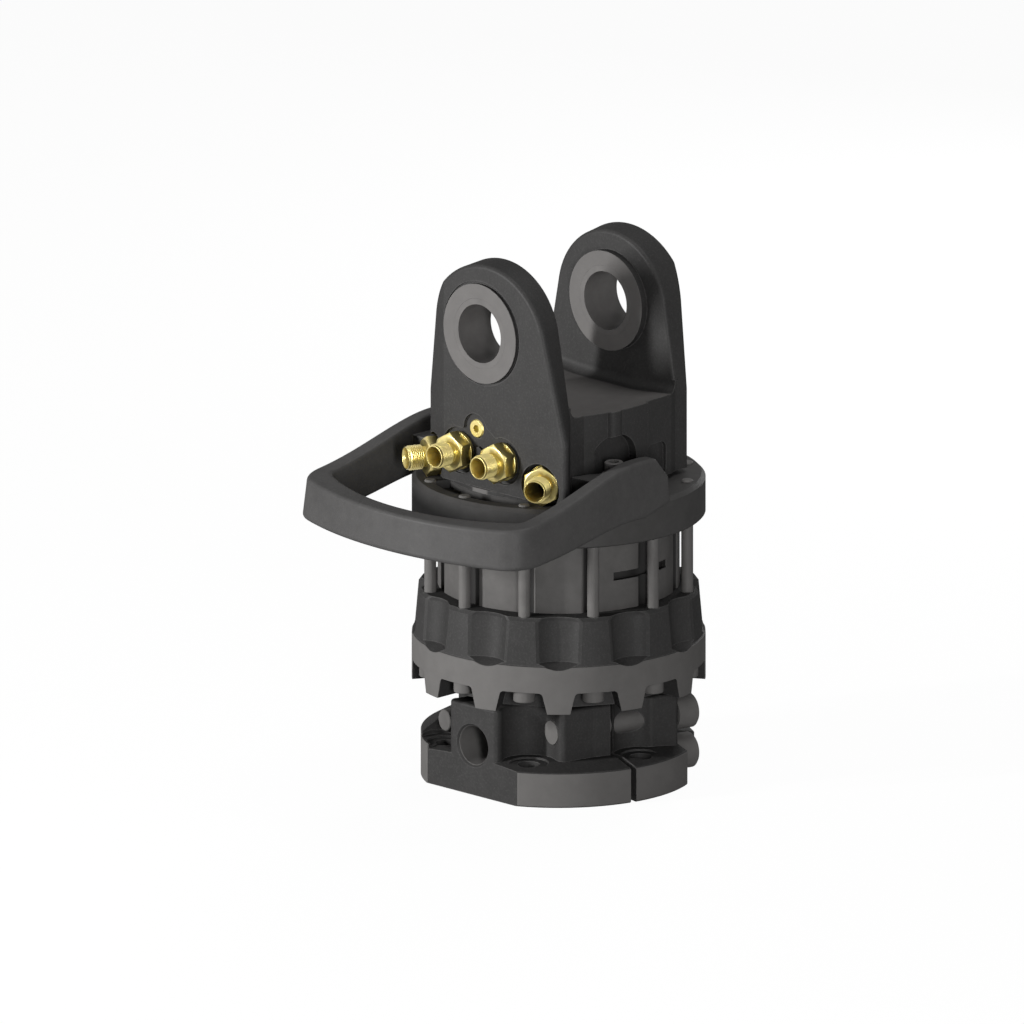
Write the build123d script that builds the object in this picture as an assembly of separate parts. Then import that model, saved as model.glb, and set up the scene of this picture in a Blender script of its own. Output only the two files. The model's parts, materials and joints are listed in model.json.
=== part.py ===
from build123d import *
import os
from math import cos, radians, sin, tan

# A hydraulic rotator for a crane or loader. The link housing with its two ears hangs on the
# crane tip, the bracket at the bottom carries the tool, and a vane motor turns the bracket.
# Millimetres. The origin is on the turning axis, in the bracket's bottom face, +Z points up
# and the ports and the hose guard face -Y.

os.makedirs("parts", exist_ok=True)

# Heights of the stack, from the bottom face upwards
bracket_height = 93.0
turning_gap = 6.5
housing_height = 97.5
stator_height = 74.0
flange_height = 40.0
saddle_height = 81.0
pin_height = 165.0

# Clearances
running_clearance = 0.05
slip_clearance = 0.1
bolt_clearance = 0.5
foot_clearance = 0.3
end_clearance = 1.0
cut_overrun = 1.0

# Ears of the link housing
pin_bore_radius = 30.0
pin_bush_wall = 6.0
ear_gap = 148.0
ear_thickness = 35.5
ear_crown_radius = 75.9
ear_crown_drop = 4.9
ear_side_angle = 10.5
ear_side_drop = 78.0
ear_flare_shift = 12.0
ear_flare_drop = 4.0
ear_flare_radius = 78.0
ear_flare_angle = 17.0
ear_foot_drop = 100.0
ear_edge_radius = 4.0
boss_radius = 51.0
boss_outer_height = 2.5
boss_inner_height = 8.0
boss_groove_width = 2.5
boss_groove_depth = 1.2
bevel_start = 53.5

# Body of the link housing
body_radius = 106.0
body_step_y = 23.0
waist_step_x = 99.0
waist_rear_x = 95.0
waist_rear_y = 64.0
saddle_sag = 7.0
saddle_fillet = 10.0
saddle_flat = 45.0
saddle_bend_radius = 300.0
plinth_radius = 112.0
plinth_height = 4.5
swivel_bore_depth = 74.0
rib_radius = 9.0
rib_angle = -13.0
rib_inset = 4.0
bolt_pocket_y = -22.0
bolt_pocket_radius = 26.0
bolt_pocket_top = 63.0
bolt_pocket_floor_x = 95.7
foot_pocket_y = 41.0
foot_pocket_width = 30.0
foot_pocket_top = 41.0
foot_pocket_floor_x = 91.5
foot_pocket_corner = 8.0

# Ports
port_fan_angle = 26.0
inner_port_x = 31.0
inner_port_height = 38.0
outer_port_x = 74.0
outer_port_inset = 19.0
outer_port_height = 21.0
port_recess_depth = 3.0
port_recess_radius = 24.0
port_recess_reach = 60.0
port_thread_radius = 13.0
port_thread_depth = 16.0
port_drill_radius = 6.0
outer_port_drill_depth = 30.0
plug_x = -8.8
plug_height = 64.0
plug_recess_radius = 16.0
plug_bridge_width = 24.0
recess_corner_radius = 3.0
plug_radius = 9.6
plug_length = 12.0
plug_stand_out = 1.5
plug_chamfer = 1.2
plug_socket_radius = 4.2
plug_socket_depth = 5.0

# Port adapters
adapter_length = 39.0
adapter_hex_width = 36.0
adapter_hex_length = 13.0
adapter_hex_corner = 1.6
adapter_hex_slope = 2.2
adapter_collar_radius = 19.5
adapter_collar_length = 4.0
adapter_neck_radius = 10.5
adapter_neck_length = 3.0
adapter_tip_radius = 12.5
adapter_tip_chamfer = 1.0
adapter_bore_radius = 8.5
adapter_cone_depth = 5.0
adapter_cone_width = 1.5
seal_ring_thickness = 1.6
seal_ring_inset = 0.8

# Hose guard, with its top and bottom lines seen from the side (Y and height)
guard_half_width = 157.0
guard_corner_y = -209.0
guard_front_y = -243.0
guard_corner_radius = 34.0
guard_bar_thickness = 22.0
guard_end_half_width = 153.0
guard_end_y = 6.0
guard_draft = 7.0
guard_edge_radius = 4.0
guard_low = 240.0
guard_high = 380.0
guard_top_line = [(-262.0, 316.0), (-205.0, 319.0), (-149.0, 329.0), (-93.0, 345.0), (-50.0, 355.0),
                  (-10.0, 355.0)]
guard_bottom_line = [(-262.0, 277.0), (-185.0, 279.0), (-132.0, 286.0), (-84.0, 295.0), (-30.0, 298.0)]
guard_end_top_z = 334.0
guard_end_bottom_z = 308.0
foot_height = 27.0
foot_outer_inset = 8.0
guard_bolt_x = 118.0
guard_bolt_y = -40.0
guard_bolt_radius = 6.0
guard_bolt_head_radius = 9.5
guard_bolt_head_height = 12.0
guard_bolt_socket_radius = 5.8
guard_bolt_socket_depth = 6.0
guard_bolt_chamfer = 0.8
guard_bolt_depth = 18.0
guard_washer_radius = 12.0
guard_washer_thickness = 2.5

# Upper flange
flange_radius = 147.0
flange_edge = 4.0
flange_lower_edge = 1.5
front_recess_inner = 112.5
front_recess_outer = 131.0
front_recess_half_angle = 30.0
front_recess_depth = 8.0
bolt_seat_radius = 9.5

# Link bolts, which hold the link housing down from inside the flange, and the seal between
link_bolt_count = 8
link_bolt_circle = 74.0
link_bolt_radius = 8.0
link_bolt_depth = 26.0
link_bolt_head_radius = 12.0
link_bolt_head_height = 16.0
link_bolt_socket_radius = 8.0
link_bolt_socket_depth = 8.0
joint_seal_radius = 58.0
joint_seal_width = 4.0
joint_seal_depth = 3.0

# Tie bolts
tie_bolt_count = 12
tie_bolt_circle = 133.0
tie_bolt_radius = 6.0
tie_bolt_end_chamfer = 1.2
tie_bolt_head_radius = 11.0
tie_bolt_head_height = 12.0
tie_bolt_head_chamfer = 1.0
tie_bolt_socket_radius = 5.8
tie_bolt_socket_depth = 6.0
tie_bolt_stand_out = 2.0

# Stator ring and motor
stator_radius = 121.0
stator_groove_radius = 15.0
cam_long_radius = 100.0
cam_short_radius = 92.4
stator_slot_height = 8.5
stator_slot_depth = 5.0
stator_slot_rise = 35.0
stator_slot_half_angle = 18.0
rotor_radius = 92.0
rotor_bore_radius = 58.0
vane_count = 8
vane_thickness = 6.0
vane_length = 18.0
vane_slot_depth = 24.0
spring_radius = 2.2
spring_spread = 22.0
key_count = 4
key_width = 14.0
key_height = 9.0
key_end_inset = 8.0
wear_plate_radius = 103.0
wear_plate_thickness = 6.0
wear_plate_gap = 2.0
stator_seal_radius = 107.0
stator_seal_width = 3.6
stator_seal_depth = 2.8
dowel_count = 2
dowel_angle = 75.0
dowel_radius = 3.0
dowel_circle = 112.0
dowel_depth = 12.0

# Lower housing
housing_radius = 147.0
band_top = 49.0
band_step = 1.4
band_slope = 1.0
housing_top_radius = 142.0
housing_top_chamfer = 4.0
housing_rim_step = 3.0
pocket_width = 46.0
pocket_depth = 12.0
pocket_floor = 52.0
pocket_tip_angle = 30.0
pocket_edge_chamfer = 2.0
skirt_height = 21.5
skirt_gap_width = 43.0
skirt_gap_spread = 11.0
skirt_gap_corner = 4.5
skirt_gap_inner = 117.0
seal_bore_radius = 76.0
seal_seat_height = 14.0
housing_floor = 18.0
housing_bore_radius = 116.0
housing_seal_lip = 3.0

# Bearing
bearing_rise = 6.5
bearing_height = 38.0
bearing_pitch_radius = 98.0
ball_radius = 12.0
ball_count = 22
groove_clearance = 0.1
race_gap = 5.0
cage_half_thickness = 3.6
cage_height = 30.0
inner_race_bore = 80.0
ring_nut_height = 7.0
ring_nut_radius = 90.0
ring_nut_notches = 4
ring_nut_notch_width = 10.0
ring_nut_notch_depth = 5.0
motor_base_gap = 2.0

# Output shaft and its seals
shaft_tail_radius = 52.0
shaft_tail_recess = 5.0
shaft_tail_chamfer = 3.0
shaft_land_radius = 62.0
shaft_land_rise = 1.0
shaft_shoulder_radius = 88.0
shaft_neck_radius = 66.0
journal_radius = 45.0
bush_wall = 5.0
bush_length = 30.0
swivel_radius = 40.0
swivel_shoulder = 0.5
swivel_top_chamfer = 2.0
oil_groove_width = 9.0
oil_groove_depth = 5.0
oil_groove_heights = [26.0, 48.0]
oil_channel_inset = 12.0
oil_drill_radius = 5.0
swivel_seal_width = 5.0
swivel_seal_depth = 4.0
swivel_seal_heights = [13.0, 37.0, 60.0]
seal_lip_width = 8.0
seal_lip_groove = 4.0
seal_lip_wall = 5.0
dust_seal_radius = 70.0
dust_seal_lip = 3.0

# Lower bracket
bracket_radius = 138.0
bracket_rim_height = 36.0
bracket_rim_chamfer = 1.5
bracket_crown_height = 41.0
bracket_crown_radius = 112.0
bracket_core_radius = 100.0
bracket_flat_y = -122.0
bracket_corner_radius = 6.0
bracket_top_radius = 3.0
column_half_width = 52.0
mount_hole_count = 6
mount_circle = 116.0
mount_hole_radius = 11.0
spot_face_radius = 19.5
spot_face_z = 39.0
scallop_radius = 28.0
window_radius = 20.0
window_chamfer = 2.5
window_z = 51.0
gusset_rim_height = 45.0
gusset_top_height = 66.0
gusset_side_x = -62.0
outlet_radius = 13.0
outlet_depth = 22.0
outlet_overrun = 5.0

# Clamp of the lower bracket, turned a little about the axis
clamp_angle = -12.0
clamp_slit_width = 6.5
clamp_face = 97.5
clamp_block_inner = 46.0
clamp_block_far = 81.0
clamp_block_near = 60.0
clamp_bolt_offset = 80.0
clamp_bolt_heights = [26.7, 68.2]
clamp_bolt_radius = 12.0
clamp_bolt_end = 61.0
clamp_head_radius = 18.0
clamp_head_height = 24.0
clamp_head_chamfer = 1.5
clamp_socket_radius = 9.5
clamp_socket_depth = 12.0
clamp_cut_inner = 52.0
lock_pin_offset = 58.0
lock_pin_height = 55.0
lock_pin_radius = 11.0
lock_pin_chamfer = 1.0
lock_pin_front = 99.0
lock_pin_back = 90.0

# Levels and places worked out from the stack
housing_z = bracket_height + turning_gap
stator_z = housing_z + housing_height
flange_z = stator_z + stator_height
link_z = flange_z + flange_height
saddle_z = link_z + saddle_height
pin_z = link_z + pin_height
body_low_z = link_z + plinth_height
ear_inner_y = ear_gap / 2
ear_outer_y = ear_inner_y + ear_thickness
boss_outer_y = ear_outer_y + boss_outer_height
boss_inner_y = ear_inner_y - boss_inner_height
port_face_y = -ear_outer_y + port_recess_depth
tie_bolt_seat_z = housing_z + skirt_height
bearing_z = housing_z + housing_floor + bearing_rise
bearing_top = bearing_z + bearing_height
rotor_low = stator_z + slip_clearance
rotor_high = flange_z - slip_clearance
vane_start_angle = 180 / vane_count
pocket_round = ((pocket_width / 2) ** 2 + pocket_depth ** 2) / (2 * pocket_depth)
pocket_circle = housing_radius - pocket_depth + pocket_round

UP = (Align.CENTER, Align.CENTER, Align.MIN)


def rod(radius, start, end):
    """A round rod from one point to another."""
    start, end = Vector(*start), Vector(*end)
    return Plane(origin=start, z_dir=end - start) * Cylinder(radius, (end - start).length, align=UP)


def disc(radius, z_low, z_high):
    return Pos(0, 0, z_low) * Cylinder(radius, z_high - z_low, align=UP)


def tube(outer, inner, z_low, z_high):
    return disc(outer, z_low, z_high) - disc(inner, z_low - cut_overrun, z_high + cut_overrun)


def turned(points):
    """A solid of revolution about the turning axis, from its half section (radius, height)."""
    section = Plane.XZ * make_face(Polyline(*points, close=True))
    return revolve(section, Axis.Z)


def block(x_low, x_high, y_low, y_high, z_low, z_high):
    centre = ((x_low + x_high) / 2, (y_low + y_high) / 2, z_low)
    return Pos(*centre) * Box(x_high - x_low, y_high - y_low, z_high - z_low, align=UP)


def prism(points, z_low, z_high):
    """An upright solid with straight sides through the points."""
    return Pos(0, 0, z_low) * extrude(make_face(Polyline(*points, close=True)), z_high - z_low)


def wedge(radius, middle, half_angle, z_low, z_high):
    """A sector about the turning axis that reaches well past the radius."""
    far = 2 * radius
    rays = [radians(middle + turn) for turn in (-half_angle, 0, half_angle)]
    return prism([(0, 0)] + [(far * cos(ray), far * sin(ray)) for ray in rays], z_low, z_high)


def around(solid, count, start=0.0):
    """Copies of a solid, evenly spaced round the turning axis."""
    return [Rot(0, 0, start + 360 * i / count) * solid for i in range(count)]


def both_sides(solid):
    """A solid and its mirror image across the middle plane of the ports."""
    return [solid, mirror(solid, Plane.YZ)]


def hexagon_prism(corner_radius, z_low, z_high):
    return Pos(0, 0, z_low) * extrude(RegularPolygon(corner_radius, 6), z_high - z_low)


def write(name, *solids):
    flat = [s for item in solids for s in (item if isinstance(item, list) else [item])]
    shape = flat[0] if len(flat) == 1 else Compound(children=flat)
    export_step(shape, f"parts/{name}.step")


# Ears of the link housing

def side_line_x(radius, angle, centre_drop, drop):
    """How far out a sloping side is, at a drop below the pin. The side touches the crown's circle."""
    return radius / cos(radians(angle)) + (drop - centre_drop) * tan(radians(angle))


def crown_end(radius, angle, centre_x, centre_drop):
    """Where the crown's circle meets its sloping side."""
    return (centre_x + radius * cos(radians(angle)), pin_z - centre_drop + radius * sin(radians(angle)))


def ear_half_width():
    return side_line_x(ear_crown_radius, ear_side_angle, ear_crown_drop, ear_side_drop)


def ear_outline(crown_x, right_end, right_foot_x, right_drop):
    """An ear seen from the front: a round crown, two sloping sides and upright feet."""
    left_end = crown_end(ear_crown_radius, ear_side_angle, 0, ear_crown_drop)
    left_end = (-left_end[0], left_end[1])
    left_foot_x = -ear_half_width()
    sides = Polyline(left_end, (left_foot_x, pin_z - ear_side_drop), (left_foot_x, body_low_z),
                     (right_foot_x, body_low_z), (right_foot_x, pin_z - right_drop), right_end)
    top = (crown_x, pin_z - ear_crown_drop + ear_crown_radius)
    return make_face(sides + ThreePointArc(right_end, top, left_end))


def front_ear():
    """The front ear. Its right side leans out towards the front, and its left front corner is bevelled."""
    inner = ear_outline(0, crown_end(ear_crown_radius, ear_side_angle, 0, ear_crown_drop), ear_half_width(),
                        ear_side_drop)
    foot_x = ear_flare_shift + side_line_x(ear_flare_radius, ear_flare_angle, ear_flare_drop, ear_foot_drop)
    outer = ear_outline(ear_flare_shift / 2,
                        crown_end(ear_flare_radius, ear_flare_angle, ear_flare_shift, ear_flare_drop), foot_x,
                        ear_foot_drop)
    inner_plane = Plane(origin=(0, -ear_inner_y, 0), x_dir=(1, 0, 0), z_dir=(0, -1, 0))
    ear = loft([inner_plane * inner, inner_plane.offset(ear_thickness) * outer], ruled=True)
    turn = radians(port_fan_angle)
    bevel = Plane(origin=(-bevel_start, -ear_outer_y, 0), x_dir=(cos(turn), -sin(turn), 0), z_dir=(0, 0, 1))
    reach = ear_gap
    ear -= bevel * Pos(0, -reach / 2, link_z) * Box(2 * reach, reach, 2 * pin_height, align=UP)
    rim = ear.edges().filter_by(lambda e: e.center().Z > body_low_z + cut_overrun)
    return fillet(rim, ear_edge_radius)


def ear_boss():
    boss = rod(boss_radius, (0, -boss_inner_y, pin_z), (0, -boss_outer_y, pin_z))
    groove_y = -ear_outer_y + boss_groove_depth
    ring = rod(boss_radius + boss_groove_width, (0, groove_y, pin_z), (0, -boss_outer_y - cut_overrun, pin_z))
    return boss, ring - boss


# Body of the link housing

def waist(gap, z_low, z_high):
    """The narrower rear half of the body's side, with an ear at each end. The gap widens it all round."""
    side = ear_half_width() + gap
    end_y = ear_inner_y + ear_edge_radius
    return prism([(0, -end_y), (side, -end_y), (side, 0), (waist_step_x + gap, body_step_y),
                  (waist_rear_x + gap, waist_rear_y), (side, ear_inner_y), (side, end_y), (0, end_y)],
                 z_low, z_high)


def half_body():
    """The body's +X half: round in front, with a rib, then a step in to a flat wall at the rear."""
    top = saddle_z + saddle_sag + saddle_fillet
    end_y = ear_inner_y + ear_edge_radius
    front = disc(body_radius, body_low_z, top) & block(0, body_radius, -end_y, body_step_y, body_low_z, top)
    rib = Rot(0, 0, rib_angle) * Pos(body_radius - rib_inset, 0, body_low_z) * Cylinder(
        rib_radius, top - body_low_z, align=UP)
    return front + waist(0, body_low_z, top) + rib


def saddle_cutter():
    """The trough between the ears. Its rounded ends leave a fillet at the foot of each ear."""
    far = body_radius + rib_radius
    rise = saddle_sag * (far - saddle_flat) / (body_radius - saddle_flat)
    face = make_face(Polyline((-far, saddle_z + rise), (-saddle_flat, saddle_z), (saddle_flat, saddle_z),
                              (far, saddle_z + rise), (far, pin_z), (-far, pin_z), close=True))
    face = fillet(face.vertices().filter_by(lambda v: abs(v.X) < far - cut_overrun), saddle_bend_radius)
    trough = extrude(Plane.XZ * face, ear_inner_y, both=True)
    ends = trough.faces().filter_by(Axis.Y).edges()
    low_ends = ends.filter_by(lambda e: e.center().Z < saddle_z + rise and abs(e.center().X) < far - cut_overrun)
    return fillet(low_ends, saddle_fillet)


def side_pockets():
    """Hollows in the body's side: a round-topped one at the guard's bolt and a lower one behind it."""
    reach = body_radius + rib_radius
    arch_z = link_z + bolt_pocket_top - bolt_pocket_radius
    low_y, high_y = bolt_pocket_y - bolt_pocket_radius, bolt_pocket_y + bolt_pocket_radius
    arch = rod(bolt_pocket_radius, (bolt_pocket_floor_x, bolt_pocket_y, arch_z),
               (reach, bolt_pocket_y, arch_z))
    legs = block(bolt_pocket_floor_x, reach, low_y, high_y, body_low_z, arch_z)
    half = foot_pocket_width / 2
    foot = block(foot_pocket_floor_x, reach, foot_pocket_y - half, foot_pocket_y + half, body_low_z,
                 link_z + foot_pocket_top)
    corners = foot.edges().filter_by(Axis.X).group_by(Axis.Z)[-1]
    return [arch + legs, fillet(corners, foot_pocket_corner)]


def front_recess():
    """The shallow recess round the plug and the two inner ports."""
    plug = (plug_x, plug_height)
    shape = Pos(*plug) * Circle(plug_recess_radius)
    for side in (-1, 1):
        port = (side * inner_port_x, inner_port_height)
        shape += Pos(*port) * Circle(port_recess_radius)
        shape += trace(Line(plug, port), plug_bridge_width)
    shape = offset(offset(shape, recess_corner_radius), -recess_corner_radius)
    plane = Plane(origin=(0, port_face_y, link_z), x_dir=(1, 0, 0), z_dir=(0, -1, 0))
    return plane * extrude(shape, port_recess_depth + boss_outer_height + cut_overrun)


def port_frames():
    """Seat planes of the four ports, each with its normal pointing out of the housing."""
    frames = []
    for side in (-1, 1):
        origin = (side * inner_port_x, port_face_y, link_z + inner_port_height)
        frames.append(Plane(origin=origin, x_dir=(1, 0, 0), z_dir=(0, -1, 0)))
    for side in (-1, 1):
        turn = radians(port_fan_angle) * side
        origin = (side * outer_port_x, -ear_outer_y + outer_port_inset, link_z + outer_port_height)
        frames.append(Plane(origin=origin, x_dir=(cos(turn), sin(turn), 0), z_dir=(sin(turn), -cos(turn), 0)))
    return frames


def port_cut(frame, drill_depth):
    seat = Cylinder(port_recess_radius, port_recess_reach, align=UP)
    thread = Cylinder(port_thread_radius + running_clearance, port_thread_depth * 2)
    drill = Pos(0, 0, -drill_depth) * Cylinder(port_drill_radius, drill_depth, align=UP)
    return frame * (seat + thread + drill)


def link_bolt_places():
    start = 180 / link_bolt_count
    return [Rot(0, 0, start + 360 * i / link_bolt_count) * Pos(link_bolt_circle, 0, 0)
            for i in range(link_bolt_count)]


def link_housing():
    boss, groove = ear_boss()
    ear = front_ear() + boss - groove
    half = half_body()
    body = half + Rot(0, 0, 180) * half - saddle_cutter()
    housing = ear + Rot(0, 0, 180) * ear + body + disc(plinth_radius, link_z, body_low_z)
    for pocket in side_pockets():
        housing -= pocket
        housing -= Rot(0, 0, 180) * pocket
    bore_y = boss_outer_y + cut_overrun
    housing -= rod(pin_bore_radius + pin_bush_wall, (0, -bore_y, pin_z), (0, bore_y, pin_z))
    housing -= front_recess()
    inner_drill_depth = ear_outer_y - swivel_radius
    for number, frame in enumerate(port_frames()):
        housing -= port_cut(frame, inner_drill_depth if number < 2 else outer_port_drill_depth)
    plug_z = link_z + plug_height
    housing -= rod(plug_radius + running_clearance, (plug_x, port_face_y + plug_length, plug_z),
                   (plug_x, port_face_y - cut_overrun, plug_z))
    housing -= disc(swivel_radius + running_clearance, link_z - cut_overrun, link_z + swivel_bore_depth)
    for height in swivel_seal_heights:
        low = link_z + height - swivel_seal_width / 2
        housing -= disc(swivel_radius + swivel_seal_depth, low, low + swivel_seal_width)
    for place in link_bolt_places():
        housing -= place * Pos(0, 0, link_z - cut_overrun) * Cylinder(
            link_bolt_radius + running_clearance, link_bolt_depth + cut_overrun, align=UP)
    return housing


def pin_bush(side):
    inner, outer = side * boss_inner_y, side * boss_outer_y
    bush = rod(pin_bore_radius + pin_bush_wall, (0, inner, pin_z), (0, outer, pin_z))
    over = side * cut_overrun
    return bush - rod(pin_bore_radius, (0, inner - over, pin_z), (0, outer + over, pin_z))


# Ports

def port_adapter():
    """One adapter on its seat: collar, hexagon, neck and threaded nose with a bore."""
    z_hex = seal_ring_thickness + adapter_collar_length
    z_neck = z_hex + adapter_hex_length
    z_nose = z_neck + adapter_neck_length
    body = disc(adapter_collar_radius, seal_ring_thickness, z_hex)
    corner = adapter_collar_radius + adapter_hex_corner
    limit = turned([(0, z_hex), (corner, z_hex), (corner, z_neck - adapter_hex_slope),
                    (adapter_hex_width / 2, z_neck), (0, z_neck)])
    body += hexagon_prism(adapter_hex_width / 2 / cos(radians(30)), z_hex, z_neck) & limit
    body += disc(adapter_neck_radius, z_neck, z_nose)
    nose = disc(adapter_tip_radius, z_nose, adapter_length)
    body += chamfer(nose.faces().sort_by(Axis.Z)[-1].edges(), adapter_tip_chamfer)
    body += disc(port_thread_radius, end_clearance - port_thread_depth, seal_ring_thickness)
    body -= disc(adapter_bore_radius, -port_thread_depth, adapter_length + cut_overrun)
    cone_z = adapter_length - adapter_cone_depth
    body -= turned([(0, cone_z), (adapter_bore_radius, cone_z),
                    (adapter_bore_radius + adapter_cone_width, adapter_length), (0, adapter_length)])
    return body


def adapter_seal():
    return tube(adapter_collar_radius - seal_ring_inset, port_thread_radius + running_clearance, 0,
                seal_ring_thickness)


def test_plug():
    z = link_z + plug_height
    head_y = port_face_y - plug_stand_out
    plug = rod(plug_radius, (plug_x, port_face_y + plug_length - bolt_clearance, z), (plug_x, head_y, z))
    plug = chamfer(plug.faces().sort_by(Axis.Y)[0].edges(), plug_chamfer)
    socket = Plane(origin=(plug_x, head_y, z), x_dir=(1, 0, 0), z_dir=(0, 1, 0))
    return plug - socket * extrude(RegularPolygon(plug_socket_radius, 6), plug_socket_depth)


# Hose guard

def guard_plan(inset):
    """The guard's outline seen from above, moved inwards by an amount."""
    corner_x = guard_half_width - inset
    corner_y = guard_corner_y + inset
    end_x = guard_end_half_width - inset
    rear_y = guard_end_y + guard_bar_thickness
    front = ThreePointArc((-corner_x, corner_y), (0, guard_front_y + inset), (corner_x, corner_y))
    sides = Polyline((corner_x, corner_y), (end_x, rear_y), (-end_x, rear_y), (-corner_x, corner_y))
    face = make_face(front + sides)
    return fillet(face.vertices().sort_by(Axis.Y)[:2], guard_corner_radius - inset)


def guard_side_view():
    """The guard's wavy top and bottom lines, with its blunt rear end."""
    top = Spline(*guard_top_line)
    bottom = Spline(*guard_bottom_line)
    rear = Polyline(guard_top_line[-1], (guard_end_y, guard_end_top_z), (guard_end_y, guard_end_bottom_z),
                    guard_bottom_line[-1])
    front = Line(guard_top_line[0], guard_bottom_line[0])
    return Plane.YZ * make_face(top + rear + bottom + front)


def guard_foot():
    """The pad under each arm, fitted round the link housing's plinth and between its ears."""
    foot = block(ear_half_width() + foot_clearance, guard_end_half_width - foot_outer_inset,
                 foot_clearance - ear_inner_y, guard_end_y, link_z, link_z + foot_height)
    below = link_z - cut_overrun
    foot -= disc(plinth_radius + foot_clearance, below, pin_z)
    return foot - mirror(waist(foot_clearance, below, pin_z), Plane.XZ)


def hose_guard():
    outer = loft([Pos(0, 0, guard_low) * guard_plan(-guard_draft),
                  Pos(0, 0, guard_high) * guard_plan(guard_draft)])
    inner = Pos(0, 0, guard_low - cut_overrun) * extrude(guard_plan(guard_bar_thickness), pin_z - guard_low)
    loop = (outer - inner) & extrude(guard_side_view(), guard_half_width + 2 * guard_bar_thickness, both=True)
    loop = fillet(loop.edges(), guard_edge_radius)
    guard = loop - disc(flange_radius + foot_clearance, flange_z, link_z)
    below, foot_top = link_z - cut_overrun, link_z + foot_height
    for foot in both_sides(guard_foot()):
        guard += foot
    for side in (-1, 1):
        place = Pos(side * guard_bolt_x, guard_bolt_y, 0)
        guard -= place * disc(guard_bolt_radius + bolt_clearance, below, foot_top + cut_overrun)
        guard -= place * disc(guard_washer_radius + bolt_clearance, foot_top, pin_z)
    for place in tie_bolt_places():
        guard -= place * disc(bolt_seat_radius, below, link_z + tie_bolt_stand_out + end_clearance)
    return guard


def guard_bolt():
    seat = link_z + foot_height + guard_washer_thickness
    top = seat + guard_bolt_head_height
    head = disc(guard_bolt_head_radius, seat, top)
    head = chamfer(head.faces().sort_by(Axis.Z)[-1].edges(), guard_bolt_chamfer)
    bolt = disc(guard_bolt_radius, link_z - guard_bolt_depth, seat) + head
    bolt -= hexagon_prism(guard_bolt_socket_radius, top - guard_bolt_socket_depth, top + cut_overrun)
    return Pos(guard_bolt_x, guard_bolt_y, 0) * bolt


def guard_washer():
    seat = link_z + foot_height
    ring = tube(guard_washer_radius, guard_bolt_radius + bolt_clearance, seat, seat + guard_washer_thickness)
    return Pos(guard_bolt_x, guard_bolt_y, 0) * ring


# Upper flange and the bolts through it

def tie_bolt_places():
    return [Rot(0, 0, 360 * i / tie_bolt_count) * Pos(tie_bolt_circle, 0, 0) for i in range(tie_bolt_count)]


def ring_groove(radius, width, z_low, z_high):
    return tube(radius + width / 2, radius - width / 2, z_low, z_high)


def dowel_holes(z_low, z_high):
    return around(Pos(dowel_circle, 0, 0) * disc(dowel_radius + running_clearance, z_low, z_high),
                  dowel_count, dowel_angle)


def upper_flange():
    low_edge = flange_lower_edge
    flange = turned([(0, flange_z), (flange_radius - low_edge, flange_z),
                     (flange_radius, flange_z + low_edge), (flange_radius, link_z - flange_edge),
                     (flange_radius - flange_edge, link_z), (0, link_z)])
    below, above = flange_z - cut_overrun, link_z + cut_overrun
    flange -= disc(journal_radius + bush_wall, below, above)
    flange -= disc(wear_plate_radius + slip_clearance, below, flange_z + wear_plate_thickness)
    flange -= ring_groove(stator_seal_radius, stator_seal_width, below, flange_z + stator_seal_depth)
    flange -= ring_groove(joint_seal_radius, joint_seal_width, link_z - joint_seal_depth, above)
    recess = tube(front_recess_outer, front_recess_inner, link_z - front_recess_depth, above)
    flange -= recess & wedge(flange_radius, -90, front_recess_half_angle, flange_z, above)
    for place in tie_bolt_places():
        flange -= place * disc(tie_bolt_radius + running_clearance, below, above)
    for place in link_bolt_places():
        flange -= place * disc(link_bolt_radius + bolt_clearance, below, above)
        flange -= place * disc(link_bolt_head_radius + bolt_clearance, below,
                               flange_z + wear_plate_thickness + link_bolt_head_height)
    for side in (-1, 1):
        flange -= Pos(side * guard_bolt_x, guard_bolt_y, 0) * disc(
            guard_bolt_radius + running_clearance, link_z - guard_bolt_depth - end_clearance, above)
    for hole in dowel_holes(below, flange_z + dowel_depth):
        flange -= hole
    return flange


def joint_seal():
    return ring_groove(joint_seal_radius, joint_seal_width, link_z - joint_seal_depth, link_z)


def tie_bolt():
    head_low = tie_bolt_seat_z - tie_bolt_head_height
    shank = disc(tie_bolt_radius, tie_bolt_seat_z, link_z + tie_bolt_stand_out)
    shank = chamfer(shank.faces().sort_by(Axis.Z)[-1].edges(), tie_bolt_end_chamfer)
    head = disc(tie_bolt_head_radius, head_low, tie_bolt_seat_z)
    head = chamfer(head.faces().sort_by(Axis.Z)[0].edges(), tie_bolt_head_chamfer)
    socket = hexagon_prism(tie_bolt_socket_radius, head_low - cut_overrun, head_low + tie_bolt_socket_depth)
    return shank + head - socket


def link_bolt():
    head_low = flange_z + wear_plate_thickness
    bolt = disc(link_bolt_head_radius, head_low, head_low + link_bolt_head_height)
    bolt += disc(link_bolt_radius, head_low, link_z + link_bolt_depth - end_clearance)
    socket_top = head_low + link_bolt_socket_depth
    return bolt - hexagon_prism(link_bolt_socket_radius, head_low - cut_overrun, socket_top)


# Motor

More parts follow.
